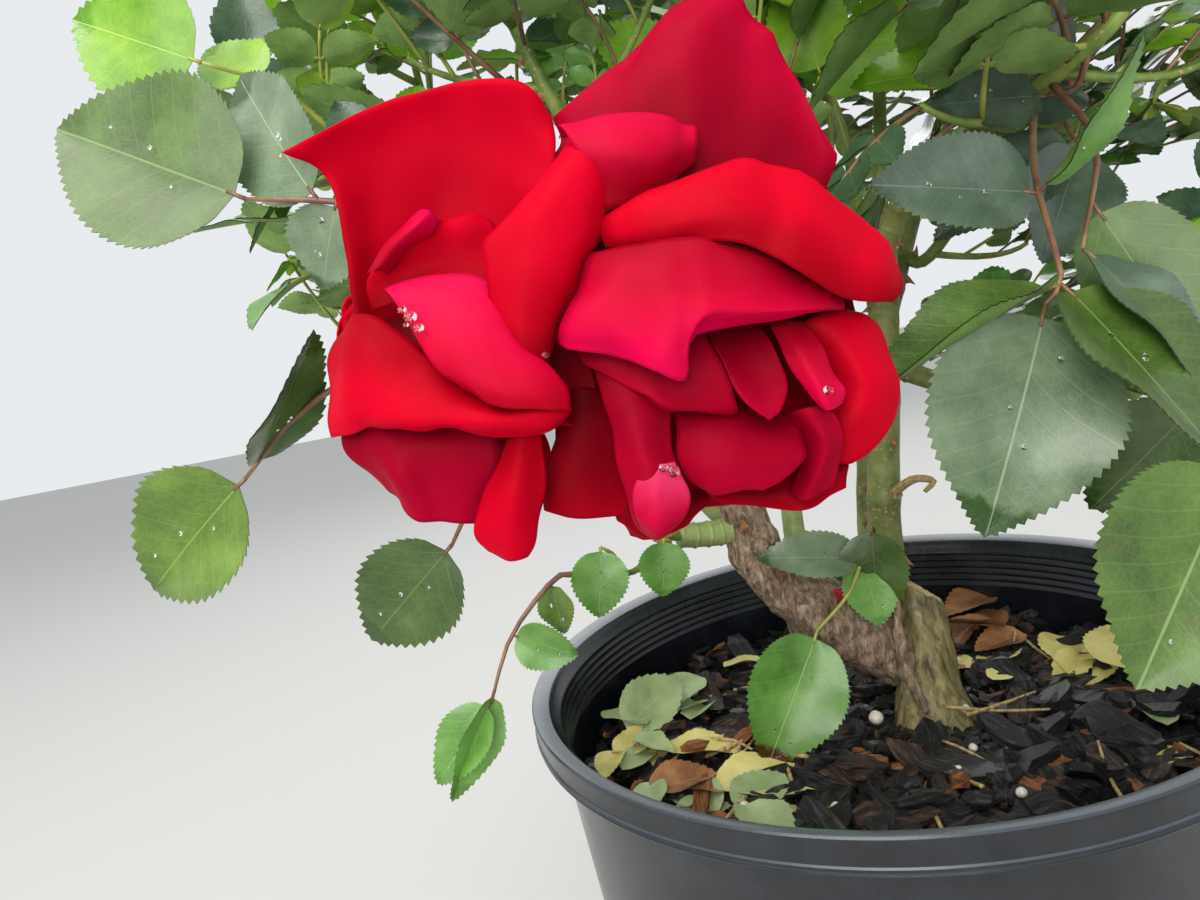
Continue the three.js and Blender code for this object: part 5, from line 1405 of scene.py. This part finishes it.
# each petal as lines of points from its foot to its lip, in millimetres: right, up, toward the viewer
petals = {
    # the cores, the hollow and the fold between the blooms are dark sheets set where the heart of each bloom
    # lies in shade: painted shade
    "left core": ["deep", [
        [(-46, 2, -14), (-30, 4, -15), (-11, 4, -12)],
        [(-49, -12, -6), (-30, -12, -7), (-12.4, -12, -4)],
        [(-45, -32, -4), (-30, -37, -4), (-13.4, -36, -4)]]],
    "right core": ["deep", [
        [(-12, 30, -10), (20, 18, -8), (50, 2, -6)],
        [(-9.8, -6, -6), (20, -12, -9), (53, -16, -6)],
        [(-9, -38, -5), (20, -41, -5), (45, -37, -6)]]],
    "core between": ["deep", [
        [(-17, 16, -5), (-2, 16, -5)],
        [(-16, -22, -4), (-6, -22, -4)]]],
    "left standard": ["crimson", [
        [(-48.8, -6, -7), (-42, -10, -11), (-30, -12, -12), (-16, -10, -7)],
        [(-52, 15, -4), (-41, 13, -11), (-26, 13, -13), (-11, 14, -5)],
        [(-55.6, 25.6, -3), (-41, 31, -9), (-22, 33, -9), (-9.6, 30, -5)],
        [(-64, 29.8, 3), (-42, 40.4, -4), (-19, 44.8, -4), (-9.4, 38, -6)]]],
    "right standard": ["dusky", [
        [(-9, 15, -6), (8, 17, -5), (20, 17, -4), (32, 16, -4), (44, 17, -6)],
        [(-10.5, 27, -8), (5, 35, -5), (19, 38, -2), (33, 34, -4), (45.2, 23, -7)],
        [(-8.4, 33, -9), (5, 44, -8), (19, 52, -4), (34, 43, -7), (46.6, 27, -6)],
        [(-9.6, 37.6, -9), (4, 49.2, -11), (17, 60.4, -9), (25, 62.4, -8), (31, 57, -8), (37, 47.6, -9),
         (46.8, 29.6, -5)]]],
    "curled lip": ["magenta", [
        [(-0.6, 17.8, 4), (6.2, 20, 4), (12, 22.6, 3), (18, 28, 0)],
        [(-5, 30, 8), (4, 30, 10), (12.4, 30, 8), (18.6, 31.6, 2)],
        [(-8.8, 35.8, 3), (2.4, 37.6, 5), (13, 37, 4), (18.2, 34.4, 0)],
        [(-8, 34.8, -2), (2.4, 36.2, -1), (13, 35.6, -1), (17.6, 33.6, -3)]]],
    "folded petal": ["crimson", [
        [(-14.6, -12.6, 10), (-12.8, -13, 11), (-11, -12.4, 9), (-9.6, -10.4, 6)],
        [(-19.6, -8, 10), (-15.6, -8.6, 12.6), (-11, -8, 10.6), (-7.6, -6.6, 5)],
        [(-22.4, -2, 10), (-16, -2, 13), (-9.6, -2, 10.6), (-4.6, -1, 4)],
        [(-23.4, 6, 10), (-15, 6, 12.6), (-7, 5.6, 10.4), (-2.6, 5.4, 4)],
        [(-23.6, 12.6, 9), (-14, 12.8, 11.6), (-5, 12, 10), (-0.2, 11.4, 4)],
        [(-17.2, 19.4, 8), (-10.4, 19.4, 10.6), (-3.4, 18.4, 9), (1.4, 17.6, 4)],
        [(-11.8, 25.6, 6.4), (-7, 25.4, 9), (-1.6, 24, 8), (3, 23.6, 4)],
        [(-7.4, 31.6, 4), (-4.4, 31.4, 6.6), (-1.6, 30.6, 6), (2.4, 29.4, 4)]]],
    "upper band": ["scarlet", [
        [(0.8, 10.8, 5), (13.4, 11.6, 10), (25.2, 12.2, 14), (32.8, 10, 15), (40.2, 5.8, 15),
         (49.2, 0.6, 11), (58.6, 0, 5)],
        [(0.4, 13, 5), (13, 16, 12), (26, 19, 15), (35, 18, 15), (44, 14, 14), (53.2, 7.6, 11), (60.2, 2, 4)],
        [(0.2, 16, 4), (10, 21.6, 8), (24.2, 27.2, 9), (33, 28, 9), (45.6, 21.8, 8), (56, 14, 6),
         (60.8, 4.4, 2)],
        [(0.2, 14, 0), (10, 20, 2), (24, 25.6, 2), (33, 26.4, 2), (45, 20.4, 1), (55, 13, 0),
         (59.8, 4, -3)]]],
    "ledge": ["magenta", [
        [(-2.4, 9.6, 6), (4, 11, 9), (12, 12.4, 11), (18, 13, 12.4), (24, 12.4, 12.6), (34, 9.4, 12),
         (46.6, 3.2, 7)],
        [(-5, 4, 8), (4, 5.6, 12), (12, 6.4, 14), (18, 6.4, 15), (24, 5.6, 15), (36, 3, 14), (49, 0.4, 8)],
        [(-7.4, -1.4, 10), (3, -1, 14), (11, -1.6, 16), (17.6, -1.4, 17.5), (24, -0.6, 18.4),
         (36, -1.4, 16.4), (49.6, -1.4, 8)],
        [(-8.8, -5.4, 10), (2, -7, 14.5), (10.6, -8.6, 16.5), (17.2, -8, 17.4), (20, -3.8, 17.6),
         (34, -3.4, 15.4), (49, -2.6, 7)],
        [(-8.6, -8.4, 8.6), (1, -11.2, 13), (9.8, -13, 15), (16.8, -15.6, 15.5), (18.6, -6.4, 14),
         (34, -4.2, 12), (48.6, -2.8, 5)]]],
    "collar": ["dusky", [
        [(-6, -6, 4), (4, -8, 8), (14, -6, 10), (20, -4, 10)],
        [(-4.4, -11.4, 7), (5.6, -14.6, 11), (14.6, -15, 12.4), (23.6, -12.4, 10.4)],
        [(-3.2, -13.8, 7), (8, -19, 12.4), (18, -21.6, 11.4), (26.6, -20.4, 9)],
        [(-2.6, -14.6, 4), (8, -19.8, 8), (18, -22.6, 8), (27, -20.8, 6)]]],
    "hollow": ["deep", [
        [(19, -3.6, 2), (34, -3.2, 2), (49, -2.4, 0)],
        [(20, -14, -5), (34, -15, -6), (50, -14, -4)],
        [(21, -23, 0), (34, -25, 0), (48, -25, -2)]]],
    "hollow petal": ["dusky", [
        [(21.4, -4.4, 4), (26, -3.6, 2), (31, -3.6, 3)],
        [(22.4, -9.6, 8), (28, -10, 6.4), (34.6, -9.6, 8)],
        [(26, -15.2, 11), (31.4, -16, 9.4), (37.2, -15.4, 10)],
        [(29.4, -20.4, 12.4), (33, -21, 12), (37, -19.4, 11)],
        [(31.4, -22.8, 12), (33.8, -23.4, 12.4), (36.2, -22, 11.4)]]],
    "bright hollow petal": ["magenta", [
        [(33.6, -4.4, 5), (36.6, -3.6, 6), (40, -4, 4)],
        [(36, -9.6, 8), (40.2, -9.6, 10.4), (44.4, -9.4, 7)],
        [(38.6, -14.8, 10), (43, -14.8, 12.4), (47, -14.6, 8)],
        [(41.6, -19, 11), (45.2, -19.6, 12.6), (48.4, -17.6, 9)],
        [(43.4, -21, 11), (45.6, -21.6, 12), (47.8, -20, 9.4)]]],
    "right outer petal": ["scarlet", [
        [(39.2, -4.4, 3), (42.8, -10, 2), (46, -17, 3), (45.2, -26, 4), (47.6, -32.4, 2)],
        [(44.4, -2.4, 4), (49.6, -9, 6), (53.2, -17, 7), (51.6, -25, 6), (49, -32.4, 2)],
        [(49.2, -1, 2), (55, -6.6, 1), (59.2, -17.6, 1), (57.2, -25.6, 1), (50, -32, 0)],
        [(49, -1.6, -2), (54, -7, -4), (57.8, -17.4, -5), (55.8, -25, -4), (49.6, -31.4, -4)]]],
    "front pad": ["dusky", [
        [(13.6, -19, 3), (26.8, -20.8, 4), (38.6, -22, 3)],
        [(15, -25, 8), (27, -26, 11), (40.4, -27, 7)],
        [(15, -31, 9.5), (27, -31, 12.5), (41, -31, 9)],
        [(17.4, -36, 9), (27, -36.4, 11.5), (37.6, -34.6, 9)],
        [(20.8, -38, 8), (26.8, -38.2, 10), (33, -36.4, 9)]]],
    "right lip": ["dusky", [
        [(36.4, -22.6, 4), (40, -29.6, 4), (37.6, -38.2, 3)],
        [(40.6, -21.4, 8), (44.8, -29.2, 9.5), (41.4, -40, 6)],
        [(44.8, -22.6, 6.5), (48.6, -29.2, 6.5), (46.8, -37.4, 4)]]],
    "right under petal": ["deep", [
        [(18, -30, -2), (34, -31, -2), (49, -30, -4)],
        [(20, -37, 2), (36, -38, 3), (49.6, -33, 0)],
        [(24.4, -40.4, 2), (40, -41.8, 3), (49.2, -37.2, 0)]]],
    "tongue": ["dusky", [
        [(-2, -12.6, 6), (6, -13.6, 8), (14, -15, 6)],
        [(0.4, -20, 8), (7, -21, 11), (14.2, -21, 8.4)],
        [(2.4, -27.6, 9), (8, -28, 13), (14, -29, 9.4)],
        [(4, -36, 10), (10, -35.6, 14), (16.4, -35, 10)],
        [(6, -44.4, 9), (11.4, -45, 12), (17.2, -41.6, 9)],
        [(8.4, -47.4, 7), (11.4, -48, 8), (14.6, -46, 7)]]],
    "tongue pocket": ["pale", [
        [(8.6, -31.8, 11.8), (11.4, -32.4, 13), (14.6, -32, 12)],
        [(6.2, -38, 13), (11, -38.4, 15.4), (17.4, -38, 13)],
        [(6.8, -44, 12), (11.2, -45, 14.5), (16.8, -42.6, 12)],
        [(9, -47, 9.5), (11.4, -47.6, 11), (14.2, -46, 9.5)]]],
    "shaded petal": ["deep", [
        [(-7.6, -18, 2), (-3, -17, 3), (6, -19, 0)],
        [(-9.4, -27, 0), (-4, -28, 2), (8, -28, 0)],
        [(-12, -37, 0), (-4.4, -38, 2), (8, -38, -1)],
        [(-11.8, -42, -1), (-4, -43.4, 0), (8, -42.4, -2)]]],
    "petal under the tongue": ["deep", [
        [(2.4, -38, -2), (12, -38, -1), (24, -37, -1)],
        [(2.8, -44, 0), (11, -46, 2), (21, -41, 0)],
        [(5.4, -47.6, -1), (10, -48.4, 0), (18, -44.8, -1)]]],
    "left cupped petal": ["blush", [
        [(-44, 3.4, 3), (-34, 5.4, 5), (-24, 5, 6), (-17, -1, 5)],
        [(-40, -2, 9.5), (-30, 0, 11), (-21, -2.6, 12), (-14, -9, 9)],
        [(-37.6, -6.6, 12), (-27, -8, 14.5), (-17.6, -11.4, 15), (-9.4, -14, 11)],
        [(-32.4, -13.8, 13.4), (-24.6, -16, 15.6), (-15, -18, 15.4), (-6.6, -17.6, 11)],
        [(-28.4, -18, 12.4), (-21, -20.8, 14), (-13, -21.4, 14), (-6.2, -21.6, 10)]]],
    "rolled lip": ["magenta", [
        [(-46.4, 5.4, 1.4), (-44.8, 6.6, 4), (-43, 5.8, 2)],
        [(-43.8, 11, 3.4), (-41.4, 11.4, 6.4), (-38.8, 9.4, 3.4)],
        [(-39.8, 16.2, 4), (-36.8, 15.8, 7), (-34.2, 13, 3.4)],
        [(-36.4, 18.8, 2.4), (-34.4, 18.4, 4), (-33, 16.2, 2)]]],
    "inner fold": ["crimson", [
        [(-46, -2, 2), (-36, 1.4, 2), (-20, 2, 2)],
        [(-46.8, 4, 3), (-36, 7, 0), (-21, 8, -1)],
        [(-42.4, 10, 4), (-35, 13, 2), (-21, 14.6, -4)],
        [(-37, 15, 4.4), (-33, 16.4, 2), (-24, 17.4, -6)]]],
    "left outer petal": ["scarlet", [
        [(-50.6, -2.2, 2), (-45, -3, 5), (-38, -8, 7), (-31, -14, 8), (-22, -18.6, 8), (-12, -18.6, 7)],
        [(-54.4, -8, 1), (-48, -10, 8), (-40, -14.4, 10), (-31, -18.6, 11), (-21, -21.2, 11.4),
         (-7.4, -19.6, 8)],
        [(-55.4, -15, 0), (-50, -16.6, 7.5), (-41.6, -19.6, 11.4), (-32, -22, 13), (-20.6, -23.2, 13),
         (-5.8, -21.6, 9)],
        [(-55, -22, -1), (-50, -22.2, 6), (-43, -23.6, 11), (-33, -24.8, 12.6), (-20.8, -25, 12.4),
         (-8, -24.4, 8)],
        [(-53.8, -27, -3), (-49, -25.6, 3), (-43, -25.4, 7.4), (-34, -26.4, 9), (-21, -26.2, 9),
         (-10, -25.8, 6)]]],
    "lower left petal": ["dusky", [
        [(-52.8, -24.6, -2), (-45, -24.6, 3), (-37, -24.6, 4), (-22, -24.6, 5)],
        [(-51.8, -29.4, -1), (-44, -30, 5), (-36, -29.4, 6), (-20, -30, 5)],
        [(-46.6, -36, -1), (-41, -36, 5.4), (-34.4, -36.6, 4), (-21, -36, 4)],
        [(-43.8, -38.6, -2), (-38, -41.6, 1), (-32, -43.4, 1), (-25.4, -44.8, 1)]]],
    "bottom petal": ["crimson", [
        [(-18.2, -26, 6), (-16, -24.6, 7), (-12.2, -25, 6)],
        [(-20.6, -32, 6.4), (-16.4, -32, 9), (-11.6, -32, 6)],
        [(-24.6, -40, 5), (-18, -40, 9.6), (-11.6, -39.6, 5)],
        [(-25.6, -46, 4), (-18.4, -47, 8), (-12.8, -46, 4)],
        [(-23.4, -50, 2), (-18.7, -52, 4), (-14.8, -50.2, 2)]]],
    "fold between the blooms": ["deep", [
        [(-13, -8, 3), (-3, -8, 3)],
        [(-12, -17, 0), (-1, -17, 0)],
        [(-10, -25, 1), (3, -25, 0)]]],
}
petalBin = Bin()


def addSheet(lines, look, seed):
    rows, columns = bloomShape["rows"], bloomShape["columns"]
    ribs = [[smooth([np.asarray(p, float) for p in line], j / columns) for j in range(columns + 1)]
            for line in lines]
    grid = np.array([[smooth([rib[j] for rib in ribs], i / rows) for j in range(columns + 1)]
                     for i in range(rows + 1)])
    marks = np.array([[(i / rows, j / columns) for j in range(columns + 1)] for i in range(rows + 1)])
    normals = np.cross(np.gradient(grid, axis=1), np.gradient(grid, axis=0))
    if (normals @ bloomFront).sum() < 0:
        grid, marks, normals = grid[:, ::-1], marks[:, ::-1], -normals[:, ::-1]
    normals /= np.linalg.norm(normals, axis=2, keepdims=True) + 1e-9
    far, aside = marks[..., 0], np.abs(2 * marks[..., 1] - 1)
    wave = np.array([[noise.noise(Vector(p / 9.0) + Vector((0, 0, seed * 3.7))) for p in row]
                     for row in grid])
    lift = bloomShape["ruffle"] * wave * (0.4 + 1.6 * np.maximum(aside, far) ** 3)
    wide = np.linalg.norm(np.diff(grid, axis=1), axis=2).sum(1).mean()
    for size, depth in bloomShape["creases"]:  # soft folds that run from foot to lip, this far apart
        folds = [[noise.noise(Vector((b * wide / size, 0.9 * a, seed * 2.3 + size))) for a, b in row]
                 for row in marks]
        lift += depth * min(1, wide / 30) * np.array(folds) * (0.3 + 0.7 * far)
    lift -= bloomShape["rolled"] * (np.clip(aside - 0.86, 0, 1) / 0.14) ** 2 * (0.3 + 0.7 * far)
    grid = grid + normals * lift[..., None]
    front, back = grid.reshape(-1, 3), (grid - normals * bloomShape["thick"]).reshape(-1, 3)
    wide, count = columns + 1, len(front)
    faces = [(i * wide + j, i * wide + j + 1, (i + 1) * wide + j + 1, (i + 1) * wide + j)
             for i in range(rows) for j in range(columns)]
    faces += [tuple(count + k for k in reversed(face)) for face in faces]
    rim = [j for j in range(wide)] + [i * wide + columns for i in range(1, rows + 1)]
    rim += [rows * wide + j for j in range(columns - 1, -1, -1)] + [i * wide for i in range(rows - 1, 0, -1)]
    faces += [(b, a, count + a, count + b) for a, b in zip(rim, rim[1:] + rim[:1])]
    petalBin.add(np.concatenate([front, back]), faces, look, np.concatenate([marks.reshape(-1, 2)] * 2))


def fanLines(root, tip, width, cup):  # a broad petal of a bloom's outer whorl
    along = tip - root
    side = unit(np.cross(along, vec(0, 0, 1)))
    lines = []
    for t, half in ((0, 0.14), (0.35, 0.4), (0.7, 0.5), (0.93, 0.42), (1, 0.3)):
        lines.append([])
        for s in (-1, -0.5, 0, 0.5, 1):
            spot = root + along * (t - 0.1 * t * s * s) + side * s * half * width + vec(0, 0, cup * s * s * t)
            lines[-1].append(bloomPoint(spot))
    return lines


for seed, (look, lines) in enumerate(petals.values()):
    addSheet([[seenPoint(p) for p in line] for line in lines], petalLooks[look], seed)
for h, heart in enumerate(bloomShape["hearts"]):
    for i, turn in enumerate(bloomShape["outerTurns"][h]):
        out = vec(math.cos(math.radians(turn)), math.sin(math.radians(turn)), 0)
        for layer in (0, 1):  # two petals deep, the outer one turned a little
            root = vec(*heart) + out * 5 - vec(0, 0, 5 + 3 * layer)
            reach = turned(out, vec(0, 0, 1), 22 * layer) * (bloomShape["outerLength"] + layer)
            tip = root + reach - vec(0, 0, 5 + 2 * layer)
            seed = 60 + i + 9 * h + 4 * layer
            addSheet(fanLines(root, tip, bloomShape["outerWidth"], 3), petalLooks["crimson"], seed)
makePiece("rose_petals", petalBin, ["bloom_truss"])

sepalBin = Bin()
stemEnd, fork = stems["bloom_truss"].point(0.9), stems["bloom_truss"].point(1)
for heart in bloomShape["hearts"]:
    base = bloomPoint(vec(*heart) - vec(0, 0, 16))
    sepalBin.add(*tube(Path([stemEnd, fork, base]), [2.0, 1.9, 2.0], 10, 16), shootLook)
    hip = Path([base - bloomFront * 3, base + bloomFront * 1, base + bloomFront * 6])
    sepalBin.add(*tube(hip, [2.0, 4.6, 5.4], 14, 10), sepalLook)
    for i in range(bloomShape["sepals"]):
        out = turned(bloomUp, bloomFront, 72 * i + 20)
        leaflet = {"root": base + bloomFront * 5 + out * 4, "along": unit(out - bloomFront * 0.25),
                   "face": bloomFront, "length": bloomShape["sepalLength"], "width": bloomShape["sepalWidth"]}
        addBlade(sepalBin, leaflet, sepalLook, None, dice(77 + i))
makePiece("bloom_stalks", sepalBin)

for key, source in leafPieces.items():
    makePiece(key, source, [name for name in masses if binOf[name] == key and name != "bloom_truss"])
makePiece("leaf_stalks", stalks)
makePiece("shoots", shoots)
makePiece("stump_bark", stump, ["stump"])
makePiece("old_bough_bark", bough, ["old_bough"])
makePiece("rose_canes", canes, list(limbs)[2:])
makePiece("rose_prickles", prickles, smooth=False)
makePiece("red_bud", buds)
makePiece("fallen_leaves", fallenBin)
makePiece("fallen_stalks_and_prills", litterBin)

# rain drops on the nearest leaves and petals
dropBin = Bin()


def addDrop(middle, face, size, high=0.55):
    side = unit(np.cross(face, zUp if abs(face[2]) < 0.9 else vec(1, 0, 0)))
    other, rows, columns = np.cross(face, side), 5, 10
    points = []
    for i in range(rows):
        a = math.pi / 2 * i / (rows - 1)
        for j in range(columns):
            b = 2 * math.pi * j / columns
            points.append(middle + (side * math.cos(b) + other * math.sin(b)) * size * math.cos(a)
                          + face * size * high * math.sin(a))
    faces = ringFaces(rows, columns, caps=False) + [tuple(reversed(range(columns)))]
    dropBin.add(points, faces, dropLook)


# drops on each near leaflet, and on the bloom as right, up, toward the viewer and size
wet = {"each": 3,
       "bloom": [(-40, -1.6, 11, 0.9), (-38.3, -3, 12, 1.3), (-36.6, -5.2, 13.4, 1),
                 (-39.2, -4.6, 11.6, 0.6), (45.4, -17.6, 13, 1), (12.4, -33.2, 14, 0.9),
                 (14.4, -33.8, 13, 1.3), (-11.2, -10.6, 11, 0.9)]}
for name in shown:
    for leaf in sprays[name]["leaves"][:len(shown[name])]:
        for number, one in enumerate(leaf["leaflets"]):
            roll = dice(5000 + masses[name]["seed"] * 13 + number)
            for _ in range(wet["each"]):
                x, y = 0.2 + 0.6 * roll(), 0.5 * (roll() - 0.5)
                spot = bladePoints(one, vec(x, y * 0.6, 0.012))[0]
                addDrop(spot, one["face"], 0.3 + 0.5 * roll())
for *p, size in wet["bloom"]:
    addDrop(seenPoint(p), unit(bloomFront + bloomUp * 0.5), size, 0.35)
makePiece("rain_drops", dropBin)

# floor, light and camera
floorLook, tree, shader, place = newLook("pale floor, matt", "#b9b9b6", 0.8)
grain = addNode(tree, "ShaderNodeTexNoise", {"Scale": perMm(60), "Detail": 3}, {"Vector": place})
addRelief(tree, shader, grain.outputs["Fac"], 0.05, 0.5)
mesh = bpy.data.meshes.new("floor")
mesh.from_pydata([(-6, -6, 0), (6, -6, 0), (6, 6, 0), (-6, 6, 0)], [], [(0, 1, 2, 3)])
mesh.materials.append(floorLook)
floor = bpy.data.objects.new("floor", mesh)
bpy.context.scene.collection.objects.link(floor)

world = bpy.data.worlds.new("soft daylight")
world.use_nodes = True
world.node_tree.nodes["Background"].inputs["Color"].default_value = colour("#eef1f4")
world.node_tree.nodes["Background"].inputs["Strength"].default_value = 0.95
bpy.context.scene.world = world


def addLight(name, place, target, size, power, tint):
    data = bpy.data.lights.new(name, "AREA")
    data.size, data.energy, data.color = size, power, colour(tint)[:3]
    lamp = bpy.data.objects.new(name, data)
    lamp.location = place
    lamp.rotation_euler = (Vector(target) - Vector(place)).to_track_quat("-Z", "Y").to_euler()
    bpy.context.scene.collection.objects.link(lamp)


addLight("roof light", (-0.5, -0.7, 1.9), (0, 0, 0.35), 1.1, 26, "#fffaf2")
addLight("front light", (-0.5, -2.0, 1.0), (0, 0, 0.35), 1.4, 34, "#fffdf8")
addLight("back light", (0.3, 1.5, 1.5), (0, 0, 0.45), 1.2, 14, "#ffffff")

view = {"place": (-83.9, -303.4, 347.5), "pitch": -7.28, "roll": -10.88, "lens": 26.4}
pitch, roll = math.radians(view["pitch"]), math.radians(view["roll"])
ahead = vec(0, math.cos(pitch), math.sin(pitch))
straightUp = vec(0, -math.sin(pitch), math.cos(pitch))
right = vec(1, 0, 0) * math.cos(roll) + straightUp * math.sin(roll)
upward = vec(-1, 0, 0) * math.sin(roll) + straightUp * math.cos(roll)
lens = bpy.data.cameras.new("camera")
lens.lens, lens.sensor_width, lens.clip_start = view["lens"], 36, 0.01
camera = bpy.data.objects.new("camera", lens)
axes = Matrix([list(right), list(upward), list(-ahead)]).transposed().to_4x4()
camera.matrix_world = Matrix.Translation(Vector(view["place"]) * mm) @ axes
bpy.context.scene.collection.objects.link(camera)
bpy.context.scene.camera = camera
bpy.context.scene.view_settings.view_transform = "Standard"
